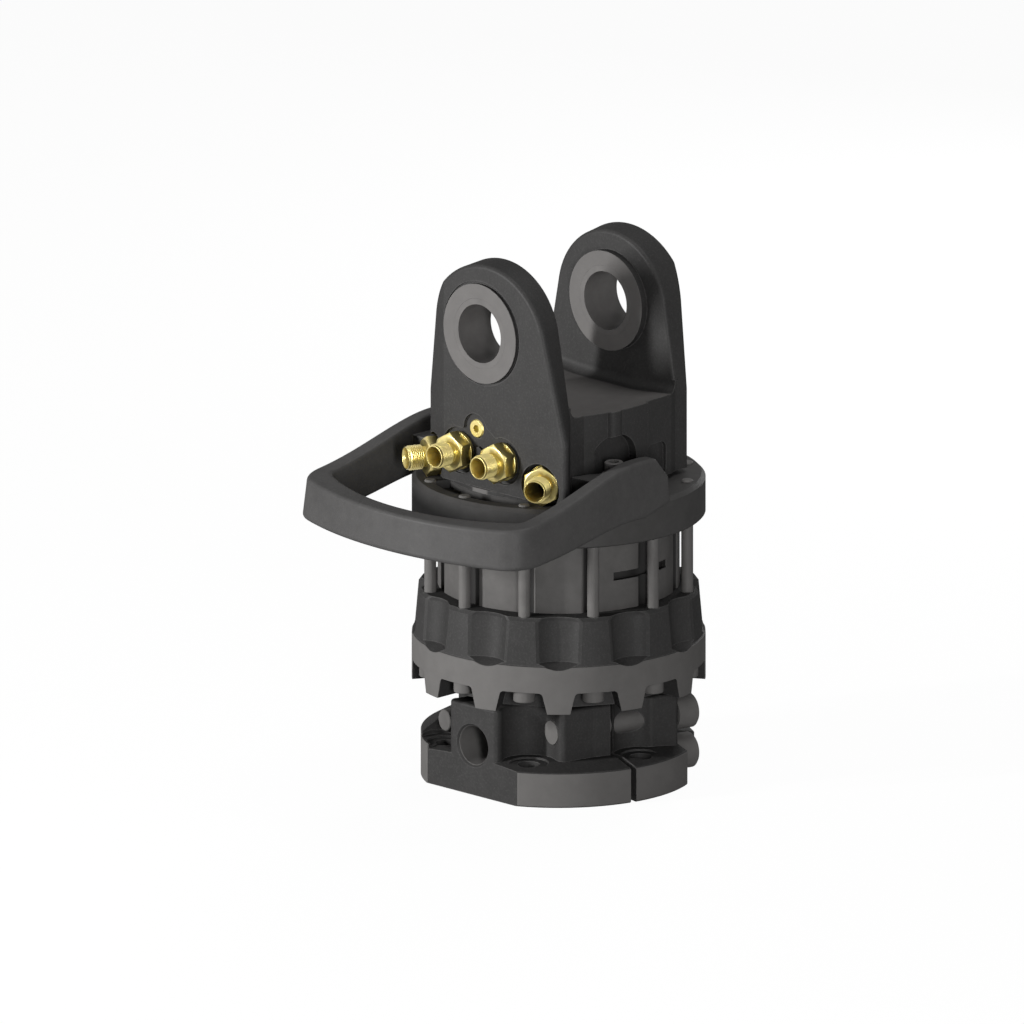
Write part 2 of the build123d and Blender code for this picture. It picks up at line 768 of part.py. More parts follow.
def stator_ring():
    below, above = stator_z - cut_overrun, flange_z + cut_overrun
    cam = Pos(0, 0, below) * extrude(Ellipse(cam_long_radius, cam_short_radius), above - below)
    ring = disc(stator_radius, stator_z, flange_z) - cam
    for place in tie_bolt_places():
        ring -= place * disc(stator_groove_radius, below, above)
    slot_low = stator_z + stator_slot_rise - stator_slot_height / 2
    slot_high = slot_low + stator_slot_height
    slot = tube(stator_radius + cut_overrun, stator_radius - stator_slot_depth, slot_low, slot_high)
    ring -= slot & wedge(stator_radius, 0, stator_slot_half_angle, slot_low, slot_high)
    for hole in dowel_holes(below, above):
        ring -= hole
    return ring


def rotor_key():
    depth = key_height / 2
    return block(rotor_bore_radius - depth, rotor_bore_radius + depth, -key_width / 2, key_width / 2,
                 rotor_low + key_end_inset, rotor_high - key_end_inset)


def rotor():
    below, above = rotor_low - cut_overrun, rotor_high + cut_overrun
    body = tube(rotor_radius, rotor_bore_radius + running_clearance, rotor_low, rotor_high)
    slot = block(rotor_radius - vane_slot_depth, rotor_radius + cut_overrun, -vane_thickness / 2,
                 vane_thickness / 2, below, above)
    keyway = block(rotor_bore_radius - cut_overrun, rotor_bore_radius + key_height / 2 + slip_clearance,
                   -key_width / 2, key_width / 2, below, above)
    for cut in around(slot, vane_count, vane_start_angle) + around(keyway, key_count):
        body -= cut
    return body


def vane():
    half = vane_thickness / 2 - running_clearance
    return block(rotor_radius - vane_length, rotor_radius, -half, half, rotor_low, rotor_high)


def vane_spring(height):
    start = rotor_radius - vane_slot_depth
    return rod(spring_radius, (start, 0, height), (rotor_radius - vane_length, 0, height))


def wear_plate(z_low):
    return tube(wear_plate_radius, shaft_neck_radius + wear_plate_gap, z_low, z_low + wear_plate_thickness)


def stator_seal(z_low):
    return ring_groove(stator_seal_radius, stator_seal_width, z_low, z_low + stator_seal_depth)


def dowel_pin():
    top = flange_z + dowel_depth - end_clearance
    return Pos(dowel_circle, 0, 0) * disc(dowel_radius, stator_z - dowel_depth, top)


def motor_base():
    """The thick disc under the rotor: it closes the bearing space and presses the outer race."""
    outer = housing_bore_radius - running_clearance
    low = bearing_top + ring_nut_height + motor_base_gap
    base = tube(outer, shaft_neck_radius + wear_plate_gap, low, stator_z)
    base += tube(outer, bearing_pitch_radius + race_gap, bearing_top, low + cut_overrun)
    above = stator_z + cut_overrun
    base -= disc(wear_plate_radius + slip_clearance, stator_z - wear_plate_thickness, above)
    base -= ring_groove(stator_seal_radius, stator_seal_width, stator_z - stator_seal_depth, above)
    for hole in dowel_holes(stator_z - dowel_depth - end_clearance, above):
        base -= hole
    return base


# Lower housing

def ribbed_section(z, radius, growth):
    """The housing's scalloped outline at a height. The pockets grow a little towards the top."""
    shape = Circle(radius)
    start = 180 / tie_bolt_count
    for i in range(tie_bolt_count):
        place = Rot(0, 0, start + 360 * i / tie_bolt_count) * Pos(pocket_circle, 0)
        shape -= place * Circle(pocket_round + growth)
    return Pos(0, 0, z) * chamfer(shape.vertices(), pocket_edge_chamfer)


def skirt_gap_cutter():
    half_top = skirt_gap_width / 2
    half_low = half_top + skirt_gap_spread / 2
    top, low = housing_z + skirt_height, housing_z - cut_overrun
    section = make_face(Polyline((-half_low, low), (half_low, low), (half_top, top), (-half_top, top),
                                 close=True))
    section = fillet(section.vertices().group_by(Axis.Y)[-1], skirt_gap_corner)
    start = Plane(origin=(skirt_gap_inner, 0, 0), x_dir=(0, 1, 0), z_dir=(1, 0, 0))
    return start * extrude(section, housing_radius - skirt_gap_inner + cut_overrun)


def lower_housing():
    """Band and skirt below, ribs and pockets above. The ribs lean in like the draft of the casting."""
    band_z = housing_z + band_top
    floor_z = housing_z + pocket_floor
    shoulder_z = stator_z - housing_top_chamfer
    slope_low = housing_radius - band_step
    lean = (slope_low - housing_top_radius) / (shoulder_z - band_z)
    floor_radius = slope_low - lean * (floor_z - band_z)
    body = turned([(0, housing_z), (housing_radius, housing_z), (housing_radius, band_z - band_slope),
                   (slope_low, band_z), (floor_radius, floor_z), (0, floor_z)])
    ribs = loft([ribbed_section(floor_z, floor_radius, 0),
                 ribbed_section(shoulder_z, housing_top_radius, slope_low - housing_top_radius)], ruled=True)
    rim = loft([ribbed_section(shoulder_z, housing_top_radius, slope_low - housing_top_radius),
                ribbed_section(stator_z, housing_top_radius - housing_rim_step, housing_rim_step)],
               ruled=True)
    body += ribs + rim
    tip = pocket_round * tan(radians(pocket_tip_angle))
    dish = Pos(pocket_circle, 0, 0) * turned([(0, floor_z - tip), (pocket_round, floor_z), (0, floor_z)])
    dishes = around(dish, tie_bolt_count, 180 / tie_bolt_count)
    for cut in dishes + around(skirt_gap_cutter(), tie_bolt_count):
        body -= cut
    body -= disc(housing_bore_radius, housing_z + housing_floor, stator_z + cut_overrun)
    body -= disc(seal_bore_radius, housing_z - cut_overrun, housing_z + seal_seat_height)
    body -= disc(shaft_land_radius + housing_seal_lip, housing_z, stator_z)
    for place in tie_bolt_places():
        body -= place * disc(tie_bolt_radius + bolt_clearance, housing_z, stator_z + cut_overrun)
    return body


# Bearing

def race_groove():
    middle = bearing_z + bearing_height / 2
    return Pos(0, 0, middle) * Torus(bearing_pitch_radius, ball_radius + groove_clearance)


def bearing_outer_ring():
    return tube(housing_bore_radius - running_clearance, bearing_pitch_radius + race_gap, bearing_z,
                bearing_top) - race_groove()


def bearing_inner_ring():
    return tube(bearing_pitch_radius - race_gap, inner_race_bore + running_clearance, bearing_z,
                bearing_top) - race_groove()


def bearing_ball():
    return Pos(bearing_pitch_radius, 0, bearing_z + bearing_height / 2) * Sphere(ball_radius)


def bearing_cage():
    middle = bearing_z + bearing_height / 2
    cage = tube(bearing_pitch_radius + cage_half_thickness, bearing_pitch_radius - cage_half_thickness,
                middle - cage_height / 2, middle + cage_height / 2)
    inner, outer = bearing_pitch_radius - ball_radius, bearing_pitch_radius + ball_radius
    hole = rod(ball_radius + groove_clearance, (inner, 0, middle), (outer, 0, middle))
    for cut in around(hole, ball_count):
        cage -= cut
    return cage


def ring_nut():
    top = bearing_top + ring_nut_height
    nut = tube(ring_nut_radius, shaft_neck_radius + running_clearance, bearing_top, top)
    half = ring_nut_notch_width / 2
    notch = block(ring_nut_radius - ring_nut_notch_depth, ring_nut_radius + cut_overrun, -half, half,
                  bearing_top - cut_overrun, top + cut_overrun)
    for cut in around(notch, ring_nut_notches, 180 / ring_nut_notches):
        nut -= cut
    return nut


# Output shaft and its seals

def output_shaft():
    land_top = housing_z + housing_floor + shaft_land_rise
    shoulder_z = link_z - swivel_shoulder
    edge = shaft_tail_chamfer
    profile = [(0, shaft_tail_recess), (shaft_tail_radius - edge, shaft_tail_recess),
               (shaft_tail_radius, shaft_tail_recess + edge), (shaft_tail_radius, bracket_height),
               (shaft_land_radius, bracket_height), (shaft_land_radius, land_top),
               (shaft_shoulder_radius, land_top), (shaft_shoulder_radius, bearing_z),
               (inner_race_bore, bearing_z), (inner_race_bore, bearing_top),
               (shaft_neck_radius, bearing_top), (shaft_neck_radius, rotor_low),
               (rotor_bore_radius, rotor_low), (rotor_bore_radius, rotor_high),
               (journal_radius, rotor_high), (journal_radius, shoulder_z), (swivel_radius, shoulder_z)]
    groove_floor = swivel_radius - oil_groove_depth
    for height in oil_groove_heights:
        low = link_z + height - oil_groove_width / 2
        high = low + oil_groove_width
        profile += [(swivel_radius, low), (groove_floor, low), (groove_floor, high), (swivel_radius, high)]
    top = link_z + swivel_bore_depth - end_clearance
    edge = swivel_top_chamfer
    profile += [(swivel_radius, top - edge), (swivel_radius - edge, top), (0, top)]
    shaft = turned(profile)
    for cut in around(rotor_key(), key_count):
        shaft -= cut
    channel = groove_floor - oil_channel_inset
    for side, height in zip((-1, 1), oil_groove_heights):
        oil_z = link_z + height
        shaft -= rod(outlet_radius, (0, side * (shaft_tail_radius + outlet_overrun), window_z),
                     (0, side * (shaft_tail_radius - outlet_depth), window_z))
        shaft -= rod(port_drill_radius, (0, side * channel, window_z), (0, side * channel, oil_z))
        shaft -= rod(oil_drill_radius, (0, side * channel, oil_z),
                     (0, side * (swivel_radius + cut_overrun), oil_z))
    return shaft - lock_pin_rod(lock_pin_radius + running_clearance, 0)


def shaft_bush():
    return tube(journal_radius + bush_wall - running_clearance, journal_radius + running_clearance,
                link_z - bush_length, link_z - joint_seal_depth)


def swivel_seal(height):
    low = link_z + height - swivel_seal_width / 2
    return tube(swivel_radius + swivel_seal_depth, swivel_radius + running_clearance, low,
                low + swivel_seal_width)


def shaft_seal():
    high = housing_z + seal_seat_height
    low = high - seal_lip_width
    ring = tube(seal_bore_radius - running_clearance, shaft_land_radius + running_clearance, low, high)
    return ring - tube(seal_bore_radius - seal_lip_wall, shaft_land_radius + seal_lip_groove,
                       low - cut_overrun, low + seal_lip_groove)


def dust_seal():
    """A lip ring that rides on the bracket and runs against the housing's underside."""
    low = bracket_height
    high = housing_z + seal_seat_height - seal_lip_width - end_clearance
    inner = shaft_land_radius + slip_clearance
    lip = dust_seal_lip
    return turned([(inner, low), (dust_seal_radius, low), (dust_seal_radius - lip, low + lip),
                   (dust_seal_radius + lip, high - lip / 3), (dust_seal_radius + lip * 2 / 3, high),
                   (inner, high - lip)])


# Lower bracket

CLAMP = Rot(0, 0, clamp_angle)


def clamp_rod(radius, offset, y_low, y_high, height):
    """A rod along the clamp's bolts. In the clamp's frame, X points out through the slit."""
    return CLAMP * rod(radius, (offset, y_low, height), (offset, y_high, height))


def lock_pin_rod(radius, extra):
    return clamp_rod(radius, -lock_pin_offset, -lock_pin_front - extra, lock_pin_back + extra,
                     lock_pin_height)


def bracket_plan():
    """The upper part of the bracket from above: core, two columns and clamp block, less the scallops."""
    near, far = -clamp_block_near, clamp_block_far
    shape = Circle(bracket_core_radius) + Rectangle(2 * column_half_width, -2 * bracket_flat_y)
    shape += CLAMP * Pos((clamp_block_inner + clamp_face) / 2, (near + far) / 2) * Rectangle(
        clamp_face - clamp_block_inner, far - near)
    for i in range(mount_hole_count):
        shape -= Rot(0, 0, 360 * i / mount_hole_count) * Pos(mount_circle, 0) * Circle(scallop_radius)
    rim = bracket_radius
    shape -= CLAMP * Pos(clamp_cut_inner + rim, far + rim) * Rectangle(2 * rim, 2 * rim)
    round_by = bracket_corner_radius
    return offset(offset(offset(shape, -round_by), 2 * round_by), -round_by)


def lower_bracket():
    rim, edge = bracket_radius, bracket_rim_chamfer
    below, above = -cut_overrun, bracket_height + cut_overrun
    base = turned([(0, 0), (rim - edge, 0), (rim, edge), (rim, bracket_rim_height - edge),
                   (rim - edge, bracket_rim_height), (bracket_crown_radius, bracket_crown_height),
                   (0, bracket_crown_height)])
    gusset = turned([(0, 0), (rim, 0), (rim, gusset_rim_height), (bracket_core_radius, gusset_top_height),
                     (0, gusset_top_height)])
    gusset &= block(-rim, gusset_side_x, -rim, rim, 0, bracket_height)
    for scallop in around(Pos(mount_circle, 0, 0) * disc(scallop_radius, bracket_crown_height, above),
                          mount_hole_count):
        gusset -= scallop
    upper = extrude(bracket_plan(), bracket_height)
    upper = fillet(upper.faces().sort_by(Axis.Z)[-1].edges(), bracket_top_radius)
    body = base + gusset + upper
    hole = Pos(mount_circle, 0, 0) * disc(mount_hole_radius, below, bracket_height)
    spot = Pos(mount_circle, 0, 0) * disc(spot_face_radius, spot_face_z, bracket_height)
    for cut in around(hole + spot, mount_hole_count):
        body -= cut
    body -= block(-rim, rim, -2 * rim, bracket_flat_y, below, above)
    body -= CLAMP * block(clamp_cut_inner, 2 * rim, clamp_block_far, 2 * rim, below, above)
    body -= disc(shaft_tail_radius + running_clearance, below, above)
    body -= CLAMP * block(0, 2 * rim, -clamp_slit_width / 2, clamp_slit_width / 2, below, above)
    for height in clamp_bolt_heights:
        body -= clamp_rod(clamp_bolt_radius + running_clearance, clamp_bolt_offset,
                          -clamp_bolt_end - end_clearance, clamp_block_far + cut_overrun, height)
    body -= lock_pin_rod(lock_pin_radius + running_clearance, rim - lock_pin_back)
    for side in (-1, 1):
        body -= rod(window_radius, (0, 0, window_z), (0, 2 * side * rim, window_z))
        flare_y = side * (-bracket_flat_y - window_chamfer)
        facing = Plane(origin=(0, flare_y, window_z), x_dir=(1, 0, 0), z_dir=(0, side, 0))
        body -= facing * Cone(window_radius, window_radius + window_chamfer, window_chamfer, align=UP)
    return body


def clamp_bolt(height):
    far = clamp_block_far
    head = rod(clamp_head_radius, (0, far, 0), (0, far + clamp_head_height, 0))
    head = chamfer(head.faces().sort_by(Axis.Y)[-1].edges(), clamp_head_chamfer)
    bolt = rod(clamp_bolt_radius, (0, -clamp_bolt_end, 0), (0, far, 0)) + head
    end = Plane(origin=(0, far + clamp_head_height, 0), x_dir=(1, 0, 0), z_dir=(0, -1, 0))
    bolt -= end * extrude(RegularPolygon(clamp_socket_radius, 6), clamp_socket_depth)
    return CLAMP * Pos(clamp_bolt_offset, 0, height) * bolt


def lock_pin():
    pin = rod(lock_pin_radius, (0, -lock_pin_front, 0), (0, lock_pin_back, 0))
    ends = pin.edges().filter_by(GeomType.CIRCLE)
    return CLAMP * Pos(-lock_pin_offset, 0, lock_pin_height) * chamfer(ends, lock_pin_chamfer)


adapters = [frame * port_adapter() for frame in port_frames()]
seals = [frame * adapter_seal() for frame in port_frames()]
middle = (rotor_low + rotor_high) / 2
springs = [s for height in (middle - spring_spread, middle + spring_spread)
           for s in around(vane_spring(height), vane_count, vane_start_angle)]

write("link_housing", link_housing())
write("front_pin_bush", pin_bush(-1))
write("rear_pin_bush", pin_bush(1))
write("tool_port_adapters", adapters[:2])
write("motor_port_adapters", adapters[2:])
write("adapter_seal_rings", seals)
write("test_plug", test_plug())
write("hose_guard", hose_guard())
write("guard_bolts", both_sides(guard_bolt()))
write("guard_washers", both_sides(guard_washer()))
write("upper_flange", upper_flange())
write("joint_seal", joint_seal())
write("tie_bolts", around(Pos(tie_bolt_circle, 0, 0) * tie_bolt(), tie_bolt_count))
write("link_bolts", [place * link_bolt() for place in link_bolt_places()])
write("stator_ring", stator_ring())
write("upper_stator_seal", stator_seal(flange_z))
write("lower_stator_seal", stator_seal(stator_z - stator_seal_depth))
write("dowel_pins", around(dowel_pin(), dowel_count, dowel_angle))
write("upper_wear_plate", wear_plate(flange_z))
write("lower_wear_plate", wear_plate(stator_z - wear_plate_thickness))
write("rotor", rotor())
write("rotor_keys", around(rotor_key(), key_count))
write("vanes", around(vane(), vane_count, vane_start_angle))
write("vane_springs", springs)
write("motor_base", motor_base())
write("lower_housing", lower_housing())
write("bearing_outer_ring", bearing_outer_ring())
write("bearing_inner_ring", bearing_inner_ring())
write("bearing_balls", around(bearing_ball(), ball_count))
write("bearing_cage", bearing_cage())
write("bearing_ring_nut", ring_nut())
write("shaft_bush", shaft_bush())
write("swivel_seals", [swivel_seal(height) for height in swivel_seal_heights])
write("shaft_seal", shaft_seal())
write("dust_seal", dust_seal())
write("output_shaft", output_shaft())
write("lower_bracket", lower_bracket())
write("clamp_bolts", [clamp_bolt(height) for height in clamp_bolt_heights])
write("lock_pin", lock_pin())
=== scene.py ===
import json
import math

import bpy
from bpy.props import FloatProperty, FloatVectorProperty, IntProperty, PointerProperty
from mathutils import Matrix, Vector


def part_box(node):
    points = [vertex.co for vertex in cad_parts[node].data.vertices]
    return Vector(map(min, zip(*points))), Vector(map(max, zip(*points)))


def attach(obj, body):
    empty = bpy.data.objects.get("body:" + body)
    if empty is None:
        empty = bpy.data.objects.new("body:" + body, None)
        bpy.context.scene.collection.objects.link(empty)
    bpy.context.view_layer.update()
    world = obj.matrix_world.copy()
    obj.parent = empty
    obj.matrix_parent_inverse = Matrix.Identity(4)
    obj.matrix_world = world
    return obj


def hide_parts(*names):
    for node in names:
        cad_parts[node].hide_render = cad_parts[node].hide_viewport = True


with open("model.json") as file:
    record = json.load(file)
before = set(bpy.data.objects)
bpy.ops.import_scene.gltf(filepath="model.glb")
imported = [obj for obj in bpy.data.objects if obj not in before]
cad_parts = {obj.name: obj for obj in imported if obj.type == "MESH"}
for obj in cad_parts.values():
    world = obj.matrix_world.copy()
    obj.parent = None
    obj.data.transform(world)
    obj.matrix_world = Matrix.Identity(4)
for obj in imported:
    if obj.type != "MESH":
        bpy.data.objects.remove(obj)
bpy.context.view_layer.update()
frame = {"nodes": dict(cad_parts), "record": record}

bl_info = {
    "name": "Hydraulic rotator looks",
    "version": (1, 0, 0),
    "blender": (4, 5, 0),
    "location": "3D View > Sidebar > Rotator",
    "description": "Port adapters, finishes and stage for a hydraulic rotator",
    "category": "Object",
}

MM = 0.001
NODES = frame["nodes"]
MOUNTS = {mount["name"]: mount for mount in frame["record"]["mounts"]}

# Machined faces of the castings, for the masks. The slack is how far a face may lie from its size.

FACE_SLACK = 0.5 * MM
FACE_BLUR = 0.15 * MM
PIN = MOUNTS["link_pin_bore"]
PIN_HEIGHT = PIN["pos_m"][2]
BOSS_RADIUS = 51 * MM
BOSS_OUTER = PIN["dims"]["length_mm"] * MM / 2
BOSS_INNER = -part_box("front_pin_bush")[1].y
EAR_GAP = 148 * MM
SADDLE_DROP = 84 * MM
SADDLE_SAG = 14 * MM
SADDLE_COVE = 10 * MM
SADDLE_BLUR = 2 * MM
SADDLE_LOW = PIN_HEIGHT - SADDLE_DROP
LEVEL_NORMAL = 0.8
HOUSING_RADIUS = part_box("lower_housing")[1].x
BAND_HEIGHT = 49 * MM
BAND_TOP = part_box("lower_housing")[0].z + BAND_HEIGHT
STATOR_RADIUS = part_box("stator_ring")[1].x
GROOVE_DEPTH = 1 * MM
BRACKET_RADIUS = -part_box("lower_bracket")[0].x
WINDOW_RADIUS = 20 * MM
WINDOW_HEIGHT = 51 * MM

# Noise textures: the span in which most of their values lie, and their roughness

NOISE_LOW = 0.3
NOISE_HIGH = 0.7
NOISE_ROUGHNESS = 0.6

# Which sockets of a Mix node hold its two inputs and its result, for colours and for values

COLOUR_SOCKETS = (6, 7, 2)
VALUE_SOCKETS = (2, 3, 0)

# How the meshes are made

HEX_SIDES = 6
HEX_CHAMFER = math.radians(30)
SHARP_ANGLE = math.radians(32)
BEVEL_ANGLE = math.radians(25)
CUT_OVERRUN = 0.5 * MM
MERGE_GAP = 0.005 * MM

# Where the lights stand and how large they are. All of them face the middle of the object.

AIM = Vector((0, 0, 0.3))
LAMPS = {
    "key": {"place": (-1.02, -2.30, 0.78), "width": 0.12, "height": 0.6},
    "top": {"place": (0.2, 0.3, 2.3), "width": 0.9, "height": 0.9},
    "fill": {"place": (1.84, -1.38, 0.6), "width": 0.3, "height": 0.7},
    "back": {"place": (-0.95, 2.15, 0.9), "width": 0.8, "height": 0.8},
}
FLOOR_WIDTH = 14
CAMERA_DISTANCE = 3
CAMERA_REACH = 20


# Sizes and finishes that a user would change

class RotatorCasting(bpy.types.PropertyGroup):
    colour: FloatVectorProperty(name="Colour", description="Colour of the black-coated castings",
                                subtype="COLOR", default=(0.033, 0.0322, 0.0318))
    roughness: FloatProperty(name="Roughness", description="Roughness of the coated casting",
                             subtype="FACTOR", default=0.6)
    # Painted highlight: the coat's colour is made this many times lighter along its edges.
    edge_highlight: FloatProperty(name="Edge highlight", description="How much lighter the coating is along edges", default=2.5)
    wax: FloatProperty(name="Wax", description="Strength of the waxy shine on the coating",
                       subtype="FACTOR", default=0.04)
    wax_roughness: FloatProperty(name="Wax roughness", description="Roughness of the waxy shine",
                                 subtype="FACTOR", default=0.5)
    grain: FloatProperty(name="Grain", description="Size of one grain of the cast skin",
                         unit="LENGTH", default=2.2 * MM)
    grain_depth: FloatProperty(name="Grain depth", description="Depth of the cast skin's grain",
                               unit="LENGTH", default=0.6 * MM)
    edge: FloatProperty(name="Edge", description="Radius that softens the casting's edges",
                        unit="LENGTH", default=2.0 * MM)
    guard_light: FloatProperty(name="Guard light", description="How much lighter the guard's coating is",
                               default=1.8)
    guard_smooth: FloatProperty(name="Guard smooth", description="How much smoother the guard's coating is",
                                subtype="FACTOR", default=0.14)


class RotatorMachined(bpy.types.PropertyGroup):
    colour: FloatVectorProperty(name="Colour", description="Colour of machined and blackened faces",
                                subtype="COLOR", default=(0.116, 0.112, 0.109))
    seat_colour: FloatVectorProperty(name="Seat colour", subtype="COLOR", default=(0.120, 0.115, 0.112),
                                     description="Colour of the faced bosses and pin bushes")
    flange_colour: FloatVectorProperty(name="Flange colour", description="Colour of the black upper flange",
                                       subtype="COLOR", default=(0.050, 0.0485, 0.0475))
    roughness: FloatProperty(name="Roughness", description="Roughness of machined faces",
                             subtype="FACTOR", default=0.52)
    honing: FloatProperty(name="Honing", description="How much smoother the stator ring is",
                          subtype="FACTOR", default=0.06)
    honed_light: FloatProperty(name="Honed light", default=0.8,
                               description="Brightness of the stator ring beside other faces")
    oil: FloatProperty(name="Oil", description="Strength of the oily shine on machined faces",
                       subtype="FACTOR", default=0.05)
    oil_roughness: FloatProperty(name="Oil roughness", description="Roughness of the oily shine",
                                 subtype="FACTOR", default=0.4)
    line: FloatProperty(name="Tool line", description="Spacing of the lines that the tool leaves",
                        unit="LENGTH", default=0.5 * MM)
    line_depth: FloatProperty(name="Line depth", description="Depth of the tool lines",
                              unit="LENGTH", default=0.02 * MM)
    edge: FloatProperty(name="Edge", description="Radius that softens machined edges",
                        unit="LENGTH", default=0.7 * MM)


class RotatorInner(bpy.types.PropertyGroup):
    steel: FloatVectorProperty(name="Steel", description="Colour of the bare steel inside", subtype="COLOR",
                               default=(0.5, 0.5, 0.5))
    steel_roughness: FloatProperty(name="Steel roughness", description="Roughness of the bare steel inside",
                                   subtype="FACTOR", default=0.28)
    bronze: FloatVectorProperty(name="Bronze", description="Colour of the bearing bronze", subtype="COLOR",
                                default=(0.55, 0.36, 0.16))
    bronze_roughness: FloatProperty(name="Bronze roughness", description="Roughness of the bearing bronze",
                                    subtype="FACTOR", default=0.35)
    rubber: FloatVectorProperty(name="Rubber", description="Colour of the seals' rubber", subtype="COLOR",
                                default=(0.018, 0.018, 0.018))


class RotatorZinc(bpy.types.PropertyGroup):
    colour: FloatVectorProperty(name="Colour", description="Colour of the yellow-passivated fittings",
                                subtype="COLOR", default=(0.64, 0.52, 0.23))
    roughness: FloatProperty(name="Roughness", description="Roughness of the fittings",
                             subtype="FACTOR", default=0.34)


class RotatorAdapter(bpy.types.PropertyGroup):
    seal: FloatProperty(name="Seal", description="Thickness of the sealing ring",
                        unit="LENGTH", default=1.6 * MM)
    collar_radius: FloatProperty(name="Collar radius", description="Radius of the round collar",
                                 unit="LENGTH", default=19.5 * MM)
    collar: FloatProperty(name="Collar", description="Length of the collar", unit="LENGTH", default=4 * MM)
    collar_chamfer: FloatProperty(name="Collar chamfer", description="Chamfer along the collar's edges",
                                  unit="LENGTH", default=0.5 * MM)
    collar_slope: FloatProperty(name="Collar slope", description="Rise of the collar's top towards the neck",
                                unit="LENGTH", default=0.2 * MM)
    hex_width: FloatProperty(name="Hexagon", description="Width of the hexagon across its flats",
                             unit="LENGTH", default=36 * MM)
    hex_length: FloatProperty(name="Hexagon length", description="Length of the hexagon",
                              unit="LENGTH", default=13 * MM)
    hex_turning: FloatProperty(name="Hexagon turning", unit="LENGTH", default=0.6 * MM,
                               description="How far the turned chamfer cuts into the flats")
    hex_edge: FloatProperty(name="Hexagon edge", description="Bevel along the hexagon's edges",
                            unit="LENGTH", default=0.35 * MM)
    hex_overlap: FloatProperty(name="Hexagon overlap", unit="LENGTH", default=0.4 * MM,
                               description="How deep the hexagon reaches into the neck")
    neck_radius: FloatProperty(name="Neck radius", description="Radius of the neck behind the thread",
                               unit="LENGTH", default=10.5 * MM)
    neck: FloatProperty(name="Neck", description="Length of the neck", unit="LENGTH", default=3 * MM)
    tip_radius: FloatProperty(name="Thread radius", description="Outer radius of the thread",
                              unit="LENGTH", default=12.5 * MM)
    length: FloatProperty(name="Length", description="Length of the adapter from its seat",
                          unit="LENGTH", default=39 * MM)
    tip_chamfer: FloatProperty(name="Tip chamfer", unit="LENGTH", default=1 * MM,
                               description="Chamfer at the end, which the mount's thread leaves out")
    pitch: FloatProperty(name="Pitch", description="Pitch of the thread", unit="LENGTH", default=2 * MM)
    thread_depth: FloatProperty(name="Thread depth", description="Depth of the thread",
                                unit="LENGTH", default=1.02 * MM)
    thread_crest: FloatProperty(name="Thread crest", description="Width of the thread's flat crest",
                                unit="LENGTH", default=0.32 * MM)
    thread_start: FloatProperty(name="Thread start", description="Plain length before the thread",
                                unit="LENGTH", default=0.9 * MM)
    thread_ends: FloatProperty(name="Thread ends", unit="LENGTH", default=2.2 * MM,
                               description="Least plain length before and after the thread")
    neck_relief: FloatProperty(name="Neck relief", unit="LENGTH", default=1.2 * MM,
                               description="How far the nose starts below the thread's crest")
    rim_relief: FloatProperty(name="Rim relief", description="How far the rim lies below the thread's crest",
                              unit="LENGTH", default=1.4 * MM)
    rim_chamfer: FloatProperty(name="Rim chamfer", description="Chamfer round the adapter's rim",
                               unit="LENGTH", default=0.3 * MM)
    bore_radius: FloatProperty(name="Bore", description="Radius of the adapter's bore",
                               unit="LENGTH", default=8.5 * MM)
    cone_rise: FloatProperty(name="Cone rise", description="How much the sealing cone widens the bore",
                             unit="LENGTH", default=1.8 * MM)
    cone_depth: FloatProperty(name="Cone depth", description="Depth of the sealing cone",
                              unit="LENGTH", default=5 * MM)
    steps: IntProperty(name="Steps", description="Steps round each turned surface", default=64)


class RotatorStage(bpy.types.PropertyGroup):
    azimuth: FloatProperty(name="Azimuth", description="Camera's turn about the axis", subtype="ANGLE",
                           default=math.radians(45))
    elevation: FloatProperty(name="Elevation", description="Camera's height angle", subtype="ANGLE",
                             default=math.radians(15.3))
    width: FloatProperty(name="View width", description="Width of the view", unit="LENGTH", default=1.024)
    centre_right: FloatProperty(name="Centre right", unit="LENGTH", default=-46.7 * MM,
                                description="Sideways place of the view's centre from the axis")
    centre_up: FloatProperty(name="Centre up", unit="LENGTH", default=260 * MM,
                             description="Height of the view's centre from the bottom face, in the view")
    key: FloatProperty(name="Key light", description="Power of the light at the left",
                       unit="POWER", default=80.0)
    top: FloatProperty(name="Top light", description="Power of the light overhead",
                       unit="POWER", default=16.0)
    fill: FloatProperty(name="Fill light", description="Power of the light at the right",
                        unit="POWER", default=26.0)
    back: FloatProperty(name="Back light", description="Power of the light behind",
                        unit="POWER", default=36.0)
    ambient: FloatProperty(name="Ambient", description="Brightness of the surroundings", default=0.05)
    floor: FloatProperty(name="Floor", description="How much light the floor throws back",
                         subtype="FACTOR", default=0.3)
    floor_paint: FloatProperty(name="Floor paint", description="Brightness of the floor as it is seen",
                               subtype="FACTOR", default=0.9)
    glow: FloatProperty(name="Floor white", description="Share of plain white in the floor as it is seen",
                        subtype="FACTOR", default=0.96)


# Small helpers for node trees

def add(tree, kind, inputs=None, **settings):
    """A node with its settings, and its inputs either linked from a socket or set to a value."""
    node = tree.nodes.new(kind)
    for name, value in settings.items():
        setattr(node, name, value)
    for key, value in (inputs or {}).items():
        socket = node.inputs[key]
        if isinstance(value, bpy.types.NodeSocket):
            tree.links.new(value, socket)
        else:
            socket.default_value = value
    return node


def maths(tree, operation, first, second=None):
    """One sum, product or the like. An operation on one value has no second."""
    values = {0: first} if second is None else {0: first, 1: second}
    return add(tree, "ShaderNodeMath", values, operation=operation).outputs[0]


def remap(tree, value, low, high, new_low=0.0, new_high=1.0):
    """The span from low to high becomes the span from new_low to new_high, and stops at its ends."""
    return add(tree, "ShaderNodeMapRange", {"Value": value, "From Min": low, "From Max": high,
                                            "To Min": new_low, "To Max": new_high}).outputs[0]


def spread(tree, value):
    """A noise value, spread over the span from 0 to 1."""
    return remap(tree, value, NOISE_LOW, NOISE_HIGH)


